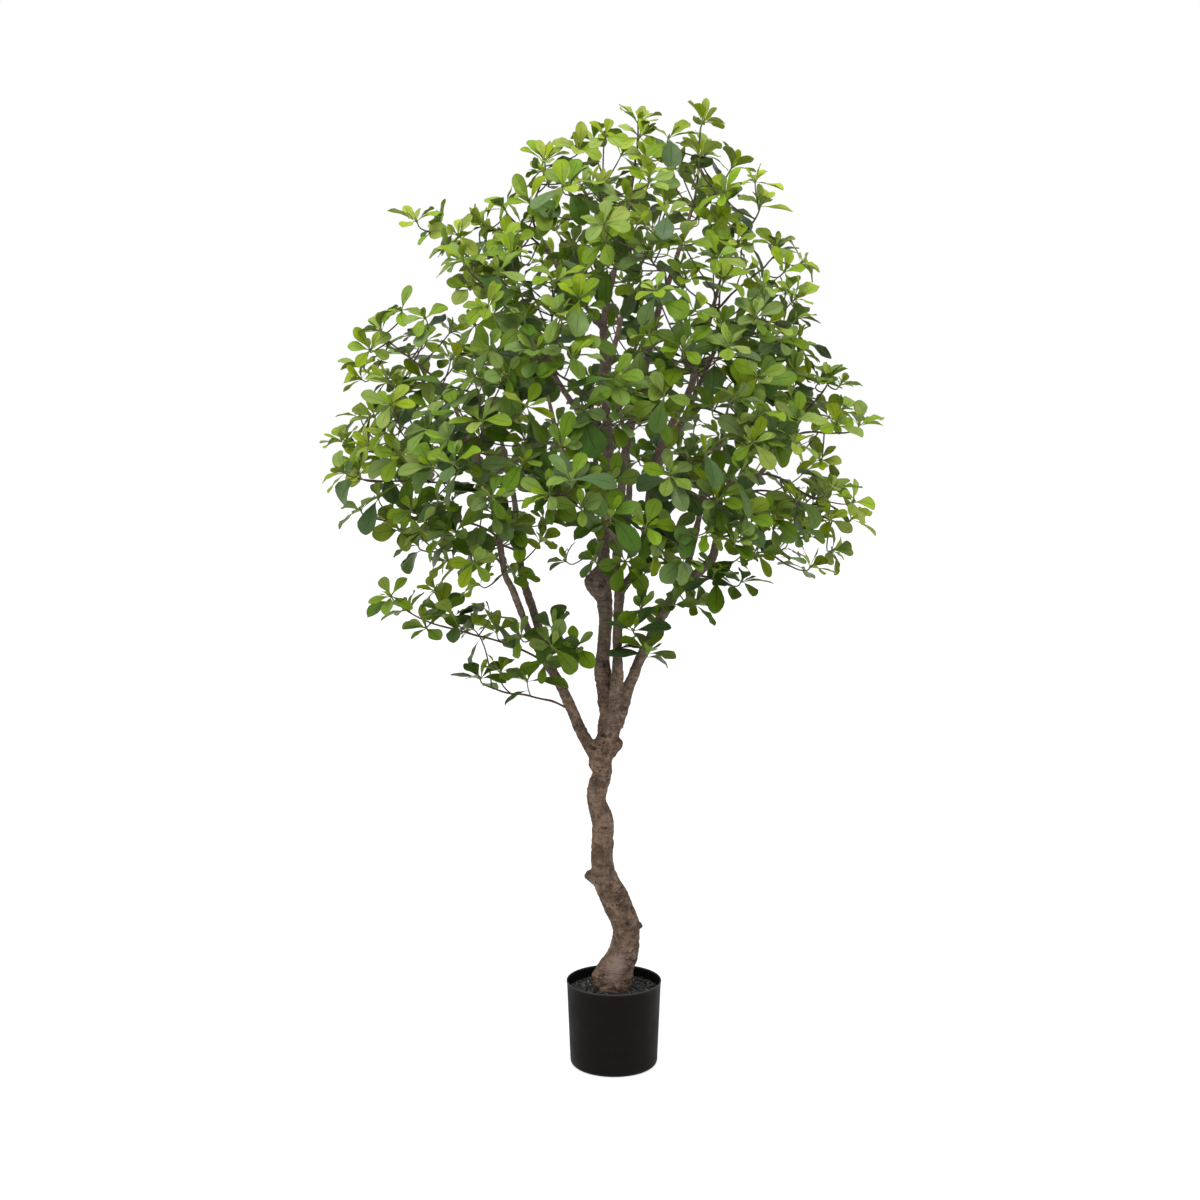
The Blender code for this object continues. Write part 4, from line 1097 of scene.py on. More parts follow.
def stem_route(limb, share, end, axis, sway, steps=STEM_STEPS):
    """Points from the limb's middle to just below the end clump, arching out and up."""
    start, _, _ = along(limb, share)
    leave = leaving_way(limb, share, end, sway)
    outward = (end - start).normalized()
    reach = (end - start).length
    neck = end - axis * NECK
    arrive = (outward + axis * 0.4).normalized()
    handles = (start + leave * reach * 0.38, neck - arrive * reach * 0.3)
    return [bezier((start, neck), handles, step) for step in steps] + [end]


def shoot_points(start, neck, centre):
    """A side shoot that leaves its stem at a slant and turns up into its rosette."""
    axis = (centre - neck).normalized()
    reach = (neck - start).length
    rising = max(0.0, axis.dot((neck - start) / reach))
    near_stem = start + (neck - start) * 0.35 - axis * reach * 0.1
    handles = (near_stem, neck - axis * reach * (0.1 + 0.2 * rising))
    return [bezier((start, neck), handles, step / 6) for step in range(7)] + [centre]


def tapered(count, radii):
    """So many radii in even steps from the first to the last."""
    return [radii[0] + (radii[1] - radii[0]) * i / (count - 1) for i in range(count)]


def from_front(place):
    """Where a place seems to lie on the plane through the trunk: x and height in millimetres."""
    eye = Vector(VIEWPOINT) * MM
    seen = eye + (place - eye) * (eye.y / (eye.y - place.y))
    return seen.x / MM, seen.z / MM


def inside(spot, outline):
    """Whether a spot lies inside an outline, by counting the sides to the right of it."""
    x, z = spot
    crossed = 0
    for (x1, z1), (x2, z2) in zip(outline, outline[1:] + outline[:1]):
        if (z1 > z) != (z2 > z) and x < x1 + (z - z1) * (x2 - x1) / (z2 - z1):
            crossed += 1
    return crossed % 2 == 1


def in_crown(place):
    """Whether a rosette here would lie inside the crown's outlines."""
    if not inside(from_front(place), CROWN_FRONT):
        return False
    x, y, z = place / MM
    for (low, *below), (high, *above) in zip(CROWN_OUTLINE, CROWN_OUTLINE[1:]):
        if low <= z <= high:
            part = (z - low) / (high - low)
            left, right, depth = (a + (b - a) * part for a, b in zip(below, above))
            middle, half = (left + right) / 2, (right - left) / 2
            return ((x - middle) / half) ** 2 + (y / depth) ** 2 <= 1
    return False


def clump_axis(rng, centre, heading, out=0.32, facing=(0, -0.2, 0.9), loose=0.45, lift=(-0.2, 0.3)):
    """Clumps look up, outward and a little to the front, each its own way."""
    away = Vector((centre.x, centre.y, 0)).normalized() * out
    own_way = Vector((rng.uniform(-loose, loose), rng.uniform(-loose, loose), rng.uniform(*lift)))
    return (heading * 0.25 + away + Vector(facing) + own_way).normalized()


def leaf_draws(rng, kind):
    """One entry for each leaf round the hub: its slot, turn, rise, size, droop and twist."""
    leaves = []
    for slot in range(kind["leaves"]):
        large = slot < kind["large"]
        length, width = LARGE_LEAF if large else SMALL_LEAF
        scale = rng.uniform(0.86, 1.14)
        leaves.append({
            "slot": slot,
            "turn": math.tau * (slot + 0.5) / HUB_SLOTS + rng.uniform(-0.16, 0.16),
            "rise": math.radians(rng.uniform(-12, 14) if large else rng.uniform(16, 58)),
            "length": length * scale,
            "width": width * scale * rng.uniform(0.82, 1.1),
            "droop": rng.uniform(0.3, 1.05),
            "twist": rng.uniform(-0.35, 0.35),
            "large": large,
        })
    return leaves


def make_clump(rng, centre, axis, kind):
    """A rosette: its place, the way it looks, its roll and its leaves."""
    return {
        "centre": centre,
        "axis": axis,
        "roll": rng.uniform(0, math.tau),
        "leaves": leaf_draws(rng, kind),
    }


def hub_frame(clump):
    """Two directions in the plane of a clump's hub, from its axis and roll."""
    side = across(clump["axis"], Vector((0.8, 0.3, -0.52)))
    other = clump["axis"].cross(side)
    roll = clump["roll"]
    first = side * math.cos(roll) + other * math.sin(roll)
    return first, clump["axis"].cross(first)


def half_width(leaf, share):
    """Half the blade's width at a share of its length: narrow stalk, spoon-shaped blade."""
    if share <= STALK_SHARE:
        return STALK_HALF_WIDTH
    blade_share = (share - STALK_SHARE) / (1 - STALK_SHARE)
    widest = (LEAF_WIDEST - STALK_SHARE) / (1 - STALK_SHARE)
    bend = math.log(0.5) / math.log(widest)
    spoon = leaf["width"] / 2 * math.sin(math.pi * blade_share**bend) ** 0.72
    return max(STALK_HALF_WIDTH * (1 - blade_share), spoon)


def blade_station(clump, leaf, share):
    """Centre, side, upward direction and half width of the blade at a share of its length."""
    first, second = hub_frame(clump)
    outward = first * math.cos(leaf["turn"]) + second * math.sin(leaf["turn"])
    axis, rise, droop = clump["axis"], leaf["rise"], leaf["droop"]
    now = rise - droop * share
    run = (math.sin(rise) - math.sin(now)) / droop
    climb = (math.cos(now) - math.cos(rise)) / droop
    root = clump["centre"] + outward * HUB_RADIUS * math.cos(math.pi / HUB_SLOTS)
    centre = root + (outward * run + axis * climb) * leaf["length"]
    ahead = outward * math.cos(now) + axis * math.sin(now)
    level = axis.cross(outward)
    up = ahead.cross(level) * -1
    turn = leaf["twist"] * share
    side = level * math.cos(turn) + up * math.sin(turn)
    return centre, side, side.cross(ahead) * -1, half_width(leaf, share)


def plain_stations(clump, leaf):
    """The few stations of the solid blade: its root, its widest place and its blunt tip."""
    stations = [blade_station(clump, leaf, share) for share in BLADE_SHARES]
    centre, side, up, _ = stations[-1]
    return stations[:-1] + [(centre, side, up, leaf["width"] / 2 * TIP_SHARE_OF_WIDTH)]


def outer_part(stations):
    """The stations with the first moved out along the blade, clear of the crowded hub."""
    (a, side, up, wide), (b, _, _, wider) = stations[0], stations[1]
    shift = 0.55
    return [(a.lerp(b, shift), side, up, wide + (wider - wide) * shift)] + stations[1:]


def settle_leaves(room, owner, clump):
    """Bends each leaf clear of what is there."""
    for leaf in clump["leaves"]:
        rise, turn = leaf["rise"], leaf["turn"]
        for lift, swing in LEAF_BENDS:
            leaf["rise"] = rise + math.radians(lift)
            leaf["turn"] = turn + math.radians(swing)
            stations = plain_stations(clump, leaf)
            shapes = thick_blade(stations), thick_blade(outer_part(stations))
            if room.is_clear(owner, *shapes):
                room.add(owner, *shapes)
                break
        else:
            leaf["rise"], leaf["turn"] = rise, turn


def grow_stems(rng, room, limbs):
    """One leafy stem for each row of STEMS, swayed aside where it would cross another."""
    stems = []
    for number, (limb, share, end, *_) in enumerate(STEMS):
        end = Vector(end) * MM
        start, _, _ = along(limbs[limb], share)
        axis = clump_axis(rng, end, (end - start).normalized())
        for attempt in range(STEM_TRIES):
            wide = 0.12 * attempt
            sway = Vector([rng.uniform(-wide, wide) for _ in range(3)])
            route = stem_route(limbs[limb], share, end, axis, sway)
            radii = [radius + BLADE_KEPT_APART for radius in tapered(len(route), STEM_RADIUS)]
            free = prism(route[1:], radii[1:])
            if room.is_clear(number, free):
                break
        room.add(number, free)
        fine_steps = [step / 12 for step in range(13)]
        stems.append({
            "route": route,
            "fine": stem_route(limbs[limb], share, end, axis, sway, fine_steps),
            "shoots": [],
            "clumps": [make_clump(rng, end, axis, END_CLUMP)],
        })
    return stems


def grow_shoots(rng, room, stems):
    """One side shoot for each stem: to the place in its row, or else to the first place tried
    that has room for its clump."""
    centres = [stem["clumps"][0]["centre"] for stem in stems]
    for number, stem in enumerate(stems):
        known = STEMS[number][3:]
        knots = [point.to_4d() for point in stem["route"]]
        for attempt in range(SHOOT_TRIES):
            start, way, _ = along(knots, known[0] if known else rng.uniform(*SHOOT_SHARES))
            side = sideways(way, rng.uniform(-1.3, 1.3))
            centre = start + (way * 0.62 + side * 0.78).normalized() * rng.uniform(*SHOOT_REACH)
            if known:
                centre = Vector(known[1]) * MM
            nearest = min((centre - other).length for other in centres)
            axis = clump_axis(rng, centre, (centre - start).normalized())
            route = [start, centre - axis * NECK, centre]
            radii = [radius + BLADE_KEPT_APART for radius in tapered(len(route), SHOOT_RADIUS)]
            shape = prism(route, radii)
            fits = known or nearest > CLUMP_SPACING and in_crown(centre)
            if fits and room.is_clear(number, shape):
                room.add(number, shape)
                centres.append(centre)
                stem["shoots"].append(route)
                stem["clumps"].append(make_clump(rng, centre, axis, SIDE_CLUMP))
                break


rng = random.Random(SEED)
room = Room()
limbs = {name: metres(route) for name, route in LIMBS.items()}
for route in limbs.values():
    room.add("trunk", prism([k.xyz for k in route], [k[3] + LIMB_KEPT_CLEAR for k in route], 8))
stems = grow_stems(rng, room, limbs)
grow_shoots(rng, room, stems)
for number, stem in enumerate(stems):
    for clump in stem["clumps"]:
        settle_leaves(room, number, clump)
print("rosettes on the solids:", sum(len(stem["clumps"]) for stem in stems))

# %% [markdown]
# ## More shoots
#
# The solids carry two rosettes on each stem, and the real stems carry about eight. The next
# cells add the others. A real crown also has windows: through some the sky shows, and through
# others a limb. They are known from the front, so no rosette is set where it would fill a window
# of sky, and no near one where it would hide a limb.

# %% Windows in the crown
LIMB_WINDOWS = (
    (-17, 1384), (-21, 1175), (-26, 1073), (142, 1312), (20, 1193), (48, 1110), (-24, 930),
    (-20, 880), (-18, 830), (-18, 780), (10, 850), (12, 905), (-176, 784), (-110, 934),
)
SKY_WINDOWS = (
    (-420, 1350), (250, 1585), (270, 1085), (350, 1110), (-290, 945), (-150, 1630), (-380, 840),
    (415, 1030), (405, 1160), (-190, 765), (-220, 1260), (-230, 940), (-470, 1240), (-305, 1605),
)
WINDOW_RADIUS = 32


def shows_well(place):
    """Whether a rosette here keeps the windows of the crown open."""
    holes = SKY_WINDOWS + LIMB_WINDOWS if place.y < 20 * MM else SKY_WINDOWS
    return all(math.dist(from_front(place), hole) > WINDOW_RADIUS for hole in holes)


print("windows:", len(LIMB_WINDOWS) + len(SKY_WINDOWS))

# %% [markdown]
# Some rosettes are known one by one, at the crown's edge and where the crown is thin, and those
# are set first. The front gives each a spot, but not a depth. So the depth is taken from the
# nearest stem or limb behind its line of sight, and the rosette grows from there on a shoot of
# its own.

# %% Rosettes that are known one by one
# x and height as the front shows them, in millimetres. The outline's corners are known as well.
KNOWN_ROSETTES = (
    # The low boughs, left and right
    (-330, 905), (-350, 835), (-325, 855), (-285, 860), (-230, 860), (-255, 865), (-415, 895),
    (-70, 800), (-185, 930), (-90, 960), (-35, 960), (50, 870), (20, 960), (50, 930), (95, 960),
    (115, 930), (150, 880), (140, 920), (265, 975), (190, 1005), (255, 1035), (295, 1020),
    (405, 980),
    # The left side
    (-475, 1145), (-435, 1080), (-390, 1145), (-320, 1155), (-180, 1005), (-130, 1035),
    (-100, 1075), (-185, 1230), (-465, 1295), (-390, 1285), (-290, 1330), (-250, 1295),
    (-255, 1340), (-300, 1330), (-345, 1365), (-390, 1420), (-100, 1365), (-240, 1455),
    (-265, 1460), (-215, 1500), (-170, 1505), (-250, 1515), (-360, 1580), (-315, 1575),
    (-285, 1555),
    # The top
    (-155, 1685), (-120, 1650), (-40, 1640), (10, 1765), (60, 1690), (45, 1730), (110, 1725),
    (100, 1740), (150, 1640), (120, 1580), (190, 1580), (255, 1650), (170, 1550), (120, 1505),
    (195, 1505),
    # The right side and the middle
    (45, 1435), (340, 1505), (330, 1440), (110, 1295), (45, 1295), (45, 1210), (45, 1145),
    (120, 1220), (120, 1005), (130, 1100), (250, 1185), (300, 1220), (330, 1165), (280, 1290),
    (415, 1285), (395, 1265), (440, 1275),
)
SHOOT_SHORTEST = 30 * MM
SHOOT_LONGEST = 150 * MM
# A limb thinner than this can carry a shoot of its own.
THIN_LIMB = 10.5 * MM
# How far a rosette keeps from the limbs, and from another that it would stand in or hide.
KEPT_FROM_LIMBS = 28 * MM
KEPT_FROM_ROSETTES = 42 * MM
HIDES_WITHIN = 90 * MM
# In millimetres as the front shows them: a listed spot needs less room than one of the outline.
ROOM_LISTED, ROOM_OUTLINE = 20, 38
# The tips of the solids' own stems reach as far to the front as this.
FRONT_LIMIT = -345 * MM
centres = [clump["centre"] for stem in stems for clump in stem["clumps"]]


def behind(spot, depth):
    """The place at a depth that the front sees at a spot of the plane through the trunk."""
    eye = Vector(VIEWPOINT) * MM
    on_plane = Vector((spot[0] * MM, 0, spot[1] * MM))
    return eye + (on_plane - eye) * ((eye.y - depth) / eye.y)


def is_served(spot, place, apart):
    """Whether a rosette already stands at a place, or shows at its spot from about its depth."""
    for centre in centres:
        hides = abs(centre.y - place.y) < HIDES_WITHIN
        hides = hides and math.dist(from_front(centre), spot) < apart
        if hides or (centre - place).length < KEPT_FROM_ROSETTES:
            return True
    return False


def add_rosette(number, start, centre, kind, known):
    """Gives a stem one more shoot and rosette, which turns further outward and, unless it is at
    the back, further to the front than the ones at the stems' tips."""
    facing = (0, -0.32 if centre.y < 70 * MM else 0.15, 0.7)
    heading = (centre - start).normalized()
    axis = clump_axis(rng, centre, heading, 0.35, facing, 0.7, (-0.3, 0.3))
    stems[number]["shoots"].append([start, centre - axis * NECK, centre])
    stems[number]["clumps"].append({**make_clump(rng, centre, axis, kind), "known": known})
    centres.append(centre)


carriers = [(point, number) for number, stem in enumerate(stems) for point in stem["fine"][3:-1]]
for route in limb_routes[1:]:
    for point in route[::3]:
        if point[3] < THIN_LIMB:
            gaps = [(stem["fine"][0] - point.xyz).length for stem in stems]
            carriers.append((point.xyz, gaps.index(min(gaps))))

rng = random.Random(7)
for spot in KNOWN_ROSETTES + CROWN_FRONT:
    apart = ROOM_LISTED if spot in KNOWN_ROSETTES else ROOM_OUTLINE
    choices = []
    for point, number in carriers:
        place = behind(spot, point.y - rng.uniform(0, 40) * MM)
        reach = (place - point).length
        if SHOOT_SHORTEST < reach < SHOOT_LONGEST and place.y > FRONT_LIMIT:
            choices.append((reach + 0.15 * abs(point.y), number, point, place))
    for _, number, point, place in sorted(choices, key=lambda choice: choice[0])[:6]:
        if limb_tree.find(place)[2] > KEPT_FROM_LIMBS and not is_served(spot, place, apart):
            add_rosette(number, point, place, END_CLUMP, True)
            break
print("rosettes with the known ones:", len(centres))

# %% [markdown]
# The rest of the crown is filled by trial: a place is tried beside a stem, and it is kept if it
# lies inside the crown, well clear of every other rosette and of the limbs, and leaves the windows
# open. Going round all the stems again and again shares the shoots out evenly.

# %% Fill the crown with side shoots
ALL_CLUMPS = 428
MORE_SPACING = 45 * MM
MORE_REACH = (45, 125)
MORE_KEPT_FROM_LIMBS = 32 * MM
LAPS = 160

rng = random.Random(71)
for lap in range(LAPS):
    for number, stem in enumerate(stems):
        if len(centres) >= ALL_CLUMPS:
            break
        knots = [point.to_4d() for point in stem["fine"]]
        start, way, _ = along(knots, rng.uniform(0.28, 0.97))
        side = sideways(way, rng.uniform(-2.6, 2.6))
        centre = start + (way * 0.55 + side * 0.83).normalized() * rng.uniform(*MORE_REACH) * MM
        nearest = min((centre - other).length for other in centres)
        _, _, to_limb = limb_tree.find(centre)
        if nearest < MORE_SPACING or to_limb < MORE_KEPT_FROM_LIMBS or centre.y < FRONT_LIMIT:
            continue
        if in_crown(centre) and shows_well(centre):
            kind = rng.choice((END_CLUMP, END_CLUMP, SIDE_CLUMP))
            add_rosette(number, start, centre, kind, False)
print("rosettes in all:", len(centres))

# %% [markdown]
# Every shoot also has leaves of other ages. One to three narrow young ones stand up in the middle
# of the rosette, bright yellow-green, and below it the old ones of last season droop outward,
# large and dark. A leaf's age also follows its place: in the light at the outside and top of the
# crown it stays bright, and inside it is deep green. So the age number also paints light and shade
# into the leaves' green, and the known rosettes get more of this painted light.

# %% Young and old leaves
# Length in millimetres, rise in degrees, width as a share of length, droop, and twist to a side.
YOUNG_LEAF = ((24, 42), (52, 80), (0.32, 0.46), (0.1, 0.6), (-0.4, 0.4))
OLD_LEAF = ((50, 74), (-18, 24), (0.42, 0.58), (0.3, 1.0), (-0.5, 0.5))


def drawn_leaf(lengths, rises, widths, droops, twists):
    """A leaf whose measures are drawn by lot, each between two limits."""
    length = rng.uniform(*lengths) * MM
    return {
        "length": length,
        "turn": rng.uniform(0, math.tau),
        "rise": math.radians(rng.uniform(*rises)),
        "width": length * rng.uniform(*widths),
        "droop": rng.uniform(*droops),
        "twist": rng.uniform(*twists),
    }


def light_at(place):
    """From 0 deep inside the crown to 1 at its sunlit top and sides."""
    x, y, z = place / MM
    out = math.hypot((x + 20) / 430, y / 560)
    high = min(1.0, max(0.0, (z - 1250) / 450))
    return min(1.0, 0.12 + 0.6 * out * out + 0.75 * high**1.5)


def back_along(points, distance):
    """The place at a distance from the end of a row of points, measured back along it."""
    for after, before in zip(points[::-1], points[-2::-1]):
        length = (after - before).length
        if distance <= length:
            return after.lerp(before, distance / length)
        distance -= length
    return points[0]


rng = random.Random(404)
for stem in stems:
    twigs_behind = [stem["fine"]] + [shoot_points(*shoot) for shoot in stem["shoots"]]
    for clump, twig in zip(stem["clumps"], twigs_behind):
        known = clump.get("known", False)
        # Painted light and shade: a leaf's age, and with it its green, follows how lit its place is,
        # and the known rosettes are painted brighter still.
        light = min(1.0, light_at(clump["centre"]) + 0.22 * known)
        mood = rng.uniform(-0.2, 0.2)
        for leaf in clump["leaves"]:
            leaf["root"] = clump["centre"]
            if "known" in clump:
                size = rng.uniform(0.68, 1.06)
                leaf["length"] *= size
                leaf["width"] *= size * rng.uniform(0.85, 1.1)
                leaf["rise"] += math.radians(rng.uniform(-28, 16))
                leaf["turn"] += rng.uniform(-0.3, 0.3)
                leaf["twist"] += rng.uniform(-0.3, 0.3)
            base = 0.82 if leaf["large"] else 0.73 - 0.56 * light
            leaf["age_and_light"] = base + mood + rng.uniform(-0.1, 0.1)
        for _ in range(rng.choice((1, 2, 2, 3))):
            leaf = drawn_leaf(*YOUNG_LEAF)
            leaf["root"] = clump["centre"]
            leaf["age_and_light"] = 0.34 - 0.34 * light + rng.uniform(0, 0.18)
            clump["leaves"].append(leaf)
        for _ in range(rng.choice((0, 0, 1) if known or light > 0.6 else (1, 2, 2, 3))):
            leaf = drawn_leaf(*OLD_LEAF)
            leaf["root"] = back_along(twig, rng.uniform(6, 24) * MM)
            leaf["age_and_light"] = 0.92 - 0.3 * light + rng.uniform(-0.15, 0.1)
            clump["leaves"].append(leaf)
        for leaf in clump["leaves"]:
            leaf["age_and_light"] = min(1.0, max(0.0, leaf["age_and_light"]))
print("leaves:", sum(len(clump["leaves"]) for stem in stems for clump in stem["clumps"]))

# %% [markdown]
# ## The shape of one leaf
#
# A leaf is a thin sheet with a crease along its midrib, sides that curl up a little, and a wavy
# margin. It is drawn as a grid, row by row from stalk to tip, and the rows stand closer together
# at the tip, which has to look round. Solidify then gives all the leaves of a stem their real
# thickness, and puts the paler finish on their undersides.
#
# The grid's own coordinates are kept as a UV map, so that the material can draw the veins, and
# each leaf's age, which also carries its painted light and shade, and a random tint go into
# attributes.

# %% Draw the leaves of a stem
LEAF_ROWS = (0.0, 0.1, 0.23, 0.38, 0.54, 0.69, 0.82, 0.92, 0.975, 1.0)
LEAF_COLUMNS = (-1.0, -0.5, 0.0, 0.5, 1.0)
LEAF_THICKNESS = 0.45 * MM
NARROWEST = 0.9 * MM
# The greater this power, the nearer to the tip the blade is widest.
SPOON_POWER = 1.62


def fine_half_width(leaf, share):
    """A softer outline than the solid's: hollow towards the stalk, and round at the tip."""
    blade_share = max(0.0, (share - 0.06) / 0.94)
    if blade_share >= 1:
        return NARROWEST
    widest = 0.5 ** (1 / SPOON_POWER)
    roundness = 0.85 if blade_share < widest else 0.55
    spoon = math.sin(math.pi * blade_share**SPOON_POWER) ** roundness
    return max(NARROWEST, leaf["width"] / 2 * spoon)


def leaf_grid(clump, leaf, rng):
    """The corners of one leaf, row by row, and its place in the UV map."""
    cup = rng.uniform(0.02, 0.34)
    waves, phase, ripple = rng.uniform(1.0, 2.6), rng.uniform(0, math.tau), rng.uniform(0.03, 0.1)
    skew = rng.uniform(-0.1, 0.1)
    shift = leaf["root"] - clump["centre"]
    corners, places = [], []
    for share in LEAF_ROWS:
        centre, side, up, _ = blade_station(clump, leaf, share)
        half = fine_half_width(leaf, share)
        for column in LEAF_COLUMNS:
            wave = math.sin(phase + math.tau * waves * share + (1.3 if column > 0 else 0))
            lift = cup * abs(column) ** 1.6 + ripple * 2.2 * wave * column * column * (share > 0.15)
            rise = half * lift + 0.35 * MM * abs(column) ** 0.5 * (share > 0.1)
            aside = side * (half * (column + skew * (1 - column * column)))
            corners.append(centre + shift + aside + up * rise)
            places.append((column * 0.5 + 0.5, share))
    return corners, places


def leaves_mesh(name, stem, rng):
    """All the leaves of a stem as one mesh of thin closed blades."""
    corners, faces, places, ages_and_light, tints = [], [], [], [], []
    wide = len(LEAF_COLUMNS)
    for clump in stem["clumps"]:
        clump_tint = rng.uniform(-0.2, 0.2)
        for leaf in clump["leaves"]:
            first = len(corners)
            grid, grid_places = leaf_grid(clump, leaf, rng)
            corners += grid
            places += grid_places
            ages_and_light += [leaf["age_and_light"]] * len(grid)
            tints += [min(1.0, max(0.0, 0.5 + clump_tint + rng.uniform(-0.35, 0.35)))] * len(grid)
            for row in range(len(LEAF_ROWS) - 1):
                for column in range(wide - 1):
                    a = first + row * wide + column
                    faces.append((a, a + wide, a + wide + 1, a + 1))
    mesh = bpy.data.meshes.new(name)
    mesh.from_pydata(corners, [], faces)
    map_layer = mesh.uv_layers.new(name="leaf_place")
    order = np.empty(len(mesh.loops), np.int32)
    mesh.loops.foreach_get("vertex_index", order)
    map_layer.data.foreach_set("uv", np.array(places, np.float32)[order].ravel())
    for label, values in (("age_and_light", ages_and_light), ("tint", tints)):
        mesh.attributes.new(label, "FLOAT", "POINT").data.foreach_set("value", values)
        mesh.materials.append(None)
    sheet = put(name, mesh)
    body = sheet.modifiers.new("thickness", "SOLIDIFY")
    body.thickness = LEAF_THICKNESS
    body.offset = -1
    body.material_offset = 1
    body.material_offset_rim = 1
    thick = finished(sheet)
    thick.shade_smooth()
    thick.set_sharp_from_angle(angle=math.radians(65))
    return thick


print("corners in a leaf:", len(LEAF_ROWS) * len(LEAF_COLUMNS))

# %% [markdown]
# ## Leaf green
#
# One recipe serves every leaf, because age and tint say how each differs. The age, which also
# carries painted light and shade from the leaf's place in the crown, picks the green from a ramp,
# from yellow-green to a deep blue-green. Some leaves are a vivid green and others look dusty, and
# a second number, made from the tint, says which. On it come a dark line along the midrib, fine
# side veins that run forward to the margin, a paler stalk end, a thin brown margin and a mottled
# cloud. An old leaf has a satin face, a young one is duller, and the underside is a dull grey-green.

# %% The leaf's two faces
def leaf_material(name, roughness, specular, underside):
    """The material of the leaves' upper faces, or of their undersides."""
    material, tree, shader = start_material(name, roughness, specular)
    age_and_light, tint = stored(tree, "age_and_light"), stored(tree, "tint")
    uv = add(tree, "UVMap", uv_map="leaf_place").outputs["UV"]
    parts = add(tree, "SeparateXYZ", {"Vector": uv})
    off_middle = sums(tree, "ABSOLUTE", sums(tree, "SUBTRACT", parts.outputs["X"], 0.5))
    share = parts.outputs["Y"]

    # Painted light and shade: the age number is lower where the crown is lit, so those leaves get
    # the brighter greens, and leaves deep inside the darker ones.
    ramp = add(tree, "ValToRGB", {"Fac": age_and_light})
    greens = (
        (0.0, (0.290, 0.360, 0.036)), (0.3, (0.188, 0.262, 0.024)), (0.6, (0.108, 0.174, 0.017)),
        (0.85, (0.056, 0.106, 0.015)), (1.0, (0.036, 0.076, 0.018)),
    )
    while len(ramp.color_ramp.elements) < len(greens):
        ramp.color_ramp.elements.new(0.5)
    for element, (position, colour) in zip(ramp.color_ramp.elements, greens):
        element.position = position
        element.color = (*colour, 1)
    green = ramp.outputs["Color"]
    warm = mix(tree, 0.5, green, (1.25, 1.04, 0.7), "MULTIPLY")
    cool = mix(tree, 0.5, green, (0.72, 1.0, 1.7), "MULTIPLY")
    green = mix(tree, tint, warm, cool)
    dust = sums(tree, "FRACT", times(tree, tint, 13.0))
    vivid = mix(tree, 1.0, green, (0.97, 1.02, 0.34), "MULTIPLY")
    dusty = mix(tree, 0.16, green, (0.230, 0.270, 0.200))
    green = mix(tree, fade(tree, dust, 0.15, 0.95), vivid, dusty)
    mottle = cloud(tree, own_place(tree), 95, 3, 0.6)
    mottled = fade(tree, mottle, 0.3, 0.7, 0.0, 0.32)
    green = mix(tree, mottled, green, (0.55, 0.6, 0.5), "MULTIPLY")

    fan = sums(tree, "SUBTRACT", times(tree, share, 11.0), times(tree, off_middle, 5.5))
    veins = sums(tree, "ABSOLUTE", sums(tree, "SUBTRACT", sums(tree, "FRACT", fan), 0.5))
    vein_line = fade(tree, veins, 0.09, 0.0)
    midrib = times(tree, fade(tree, off_middle, 0.035, 0.008), fade(tree, share, 0.97, 0.7))
    if underside:
        green = mix(tree, 0.6, green, (0.190, 0.235, 0.100))
        green = coat(tree, green, midrib, 0.5, (0.28, 0.33, 0.15))
    else:
        green = coat(tree, green, vein_line, 0.2, (0.4, 0.5, 0.35), "MULTIPLY")
        green = coat(tree, green, midrib, 0.6, (0.32, 0.42, 0.3), "MULTIPLY")
    green = coat(tree, green, fade(tree, share, 0.2, 0.03), 0.6, (0.23, 0.28, 0.06))
    green = coat(tree, green, fade(tree, off_middle, 0.47, 0.497), 0.5, (0.090, 0.070, 0.030))

    dull = fade(tree, age_and_light, 0.2, 0.9, roughness + 0.1, roughness - 0.06)
    dull = sums(tree, "ADD", dull, fade(tree, mottle, 0.3, 0.7, -0.03, 0.06))
    quilt = sums(tree, "ADD", times(tree, vein_line, -0.5), times(tree, midrib, -1.0))
    quilt_height = -0.0006 if underside else 0.0006
    mottle_bump = bump(tree, mottle, 0.0012, 0.5)
    dress(tree, shader, green, dull, bump(tree, quilt, quilt_height, 0.8, mottle_bump))
    return material


leaf_face = leaf_material("leaf_green", 0.44, 0.11, False)
leaf_back = leaf_material("leaf_underside", 0.62, 0.10, True)
print("leaf materials ready")

# %% [markdown]
# ## Twigs
#
# The stems and shoots are thin tubes. Near the limb they are as brown and rough as it is, and in
# the last two centimetres under a rosette they are still soft and green. Each shoot leaves its
# stem at a slant and turns up into its rosette, so its route is a curve too. A small bud closes
# each tip between the leaves.

# %% Draw the twigs of a stem
# A twig is wholly green up to 6 mm from the middle of a rosette, and fades to brown over 22 mm.
SOFT_FROM = 6 * MM
SOFT_OVER = 22 * MM


def shoot_curve(route):
    """The route of a side shoot with its radius, from the stem to the bud."""
    points = shoot_points(*route)
    radii = tapered(len(points), (1.5 * MM, 1.25 * MM))
    return [Vector((*point, radius)) for point, radius in zip(points, radii)]


def bud(clump):
    """A short swollen tip that stands in the middle of a rosette."""
    base, axis = clump["centre"] - clump["axis"] * 3 * MM, clump["axis"]
    shape = ((0, 1.3), (2.5, 2.3), (5.5, 2.4), (8.5, 1.5), (10.5, 0.4))
    return [Vector((*(base + axis * up * MM), radius * MM)) for up, radius in shape]


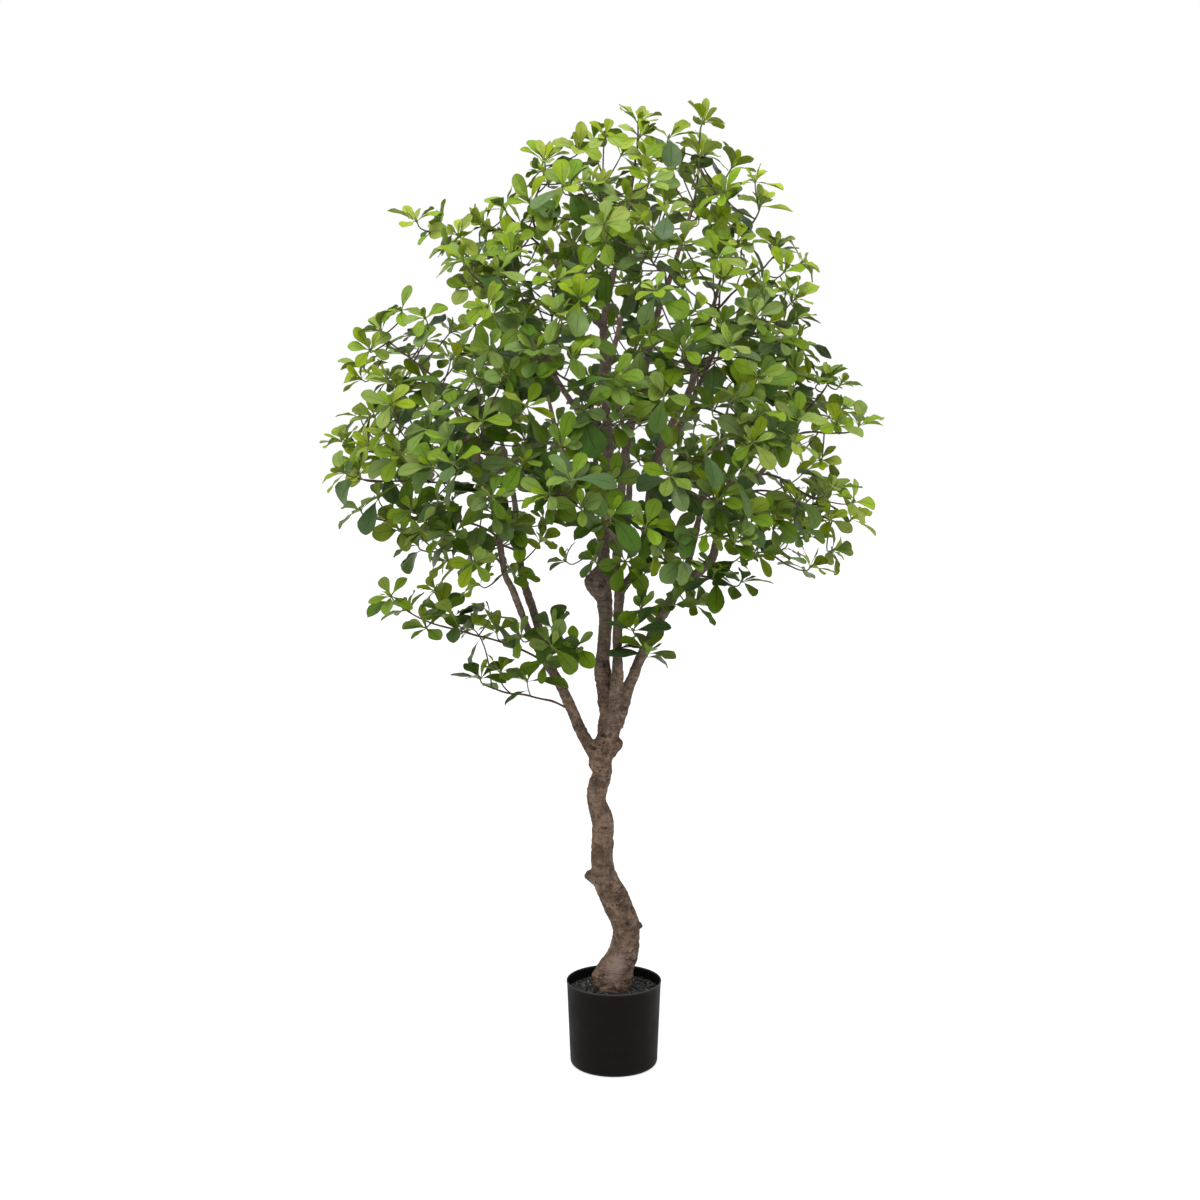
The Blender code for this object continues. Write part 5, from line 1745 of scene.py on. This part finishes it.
def twigs_mesh(name, stem):
    """All the twigs and buds of a stem as one mesh of tubes."""
    fine = stem["fine"]
    radii = tapered(len(fine), STEM_RADIUS)
    knots = [Vector((*point, radius)) for point, radius in zip(fine, radii)]
    for index, knot in enumerate(knots[1:-2], 1):
        away = noise_way(knot.xyz * 38) * 2.2 * MM * min(1.0, index / 3)
        knots[index] = Vector((*(knot.xyz + away), knot[3] * (1.12 if index % 3 == 0 else 0.97)))
    routes = [smoothed(knots, 9 * MM)]
    routes += [shoot_curve(route) for route in stem["shoots"]]
    routes += [bud(clump) for clump in stem["clumps"]]
    mesh = finished(tube_curve(name, routes, 1))
    hubs = np.array([clump["centre"][:] for clump in stem["clumps"]])
    places = np.empty(len(mesh.vertices) * 3)
    mesh.vertices.foreach_get("co", places)
    gaps = np.linalg.norm(places.reshape(-1, 1, 3) - hubs[None], axis=2).min(axis=1)
    soft = np.clip(1 - (gaps - SOFT_FROM) / SOFT_OVER, 0, 1).astype(np.float32)
    mesh.attributes.new("soft", "FLOAT", "POINT").data.foreach_set("value", soft)
    mesh.shade_smooth()
    return mesh


twig_skin, tree, shader = start_material("twig_brown_and_green", 0.6, 0.25)
freckle = cloud(tree, own_place(tree), 380, 3)
wood = mix(tree, fade(tree, freckle, 0.35, 0.65), (0.042, 0.026, 0.019), (0.105, 0.070, 0.054))
green = mix(tree, fade(tree, freckle, 0.3, 0.7), (0.075, 0.110, 0.026), (0.140, 0.170, 0.055))
skin_colour = mix(tree, fade(tree, stored(tree, "soft"), 0.15, 0.85), wood, green)
dress(tree, shader, skin_colour, normal=bump(tree, freckle, 0.0008, 0.8))
print("twig material ready")

# %% [markdown]
# ## Dress every stem
#
# Each solid stem is replaced by two pieces: its twigs and its leaves.

# %% Build twigs and leaves for each stem
rng = random.Random(88)
leaf_triangles = twig_triangles = 0
for number, stem in enumerate(stems, 1):
    node = f"leafy_stem_{number:02d}"
    twigs = twigs_mesh(f"twigs_{number:02d}", stem)
    leaves = leaves_mesh(f"leaves_{number:02d}", stem, rng)
    show(f"twigs_{number:02d}", twigs, [twig_skin], node)
    show(f"leaves_{number:02d}", leaves, [leaf_face, leaf_back], node)
    twig_triangles += triangles(twigs)
    leaf_triangles += triangles(leaves)
print("triangles of leaves:", leaf_triangles, "and of twigs:", twig_triangles)

# %% [markdown]
# ## Compare the sizes and finish
#
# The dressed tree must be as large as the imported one, so both boxes are written side by side.

# %% Finish
DRESSED_BOX = [list(corner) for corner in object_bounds()]
for axis, low, high, low_now, high_now in zip("xyz", *SOLID_BOX, *DRESSED_BOX):
    below, above = (low - low_now) / (high - low), (high_now - high) / (high - low)
    print(f"{axis}: {below:+.1%} below and {above:+.1%} above the solids")
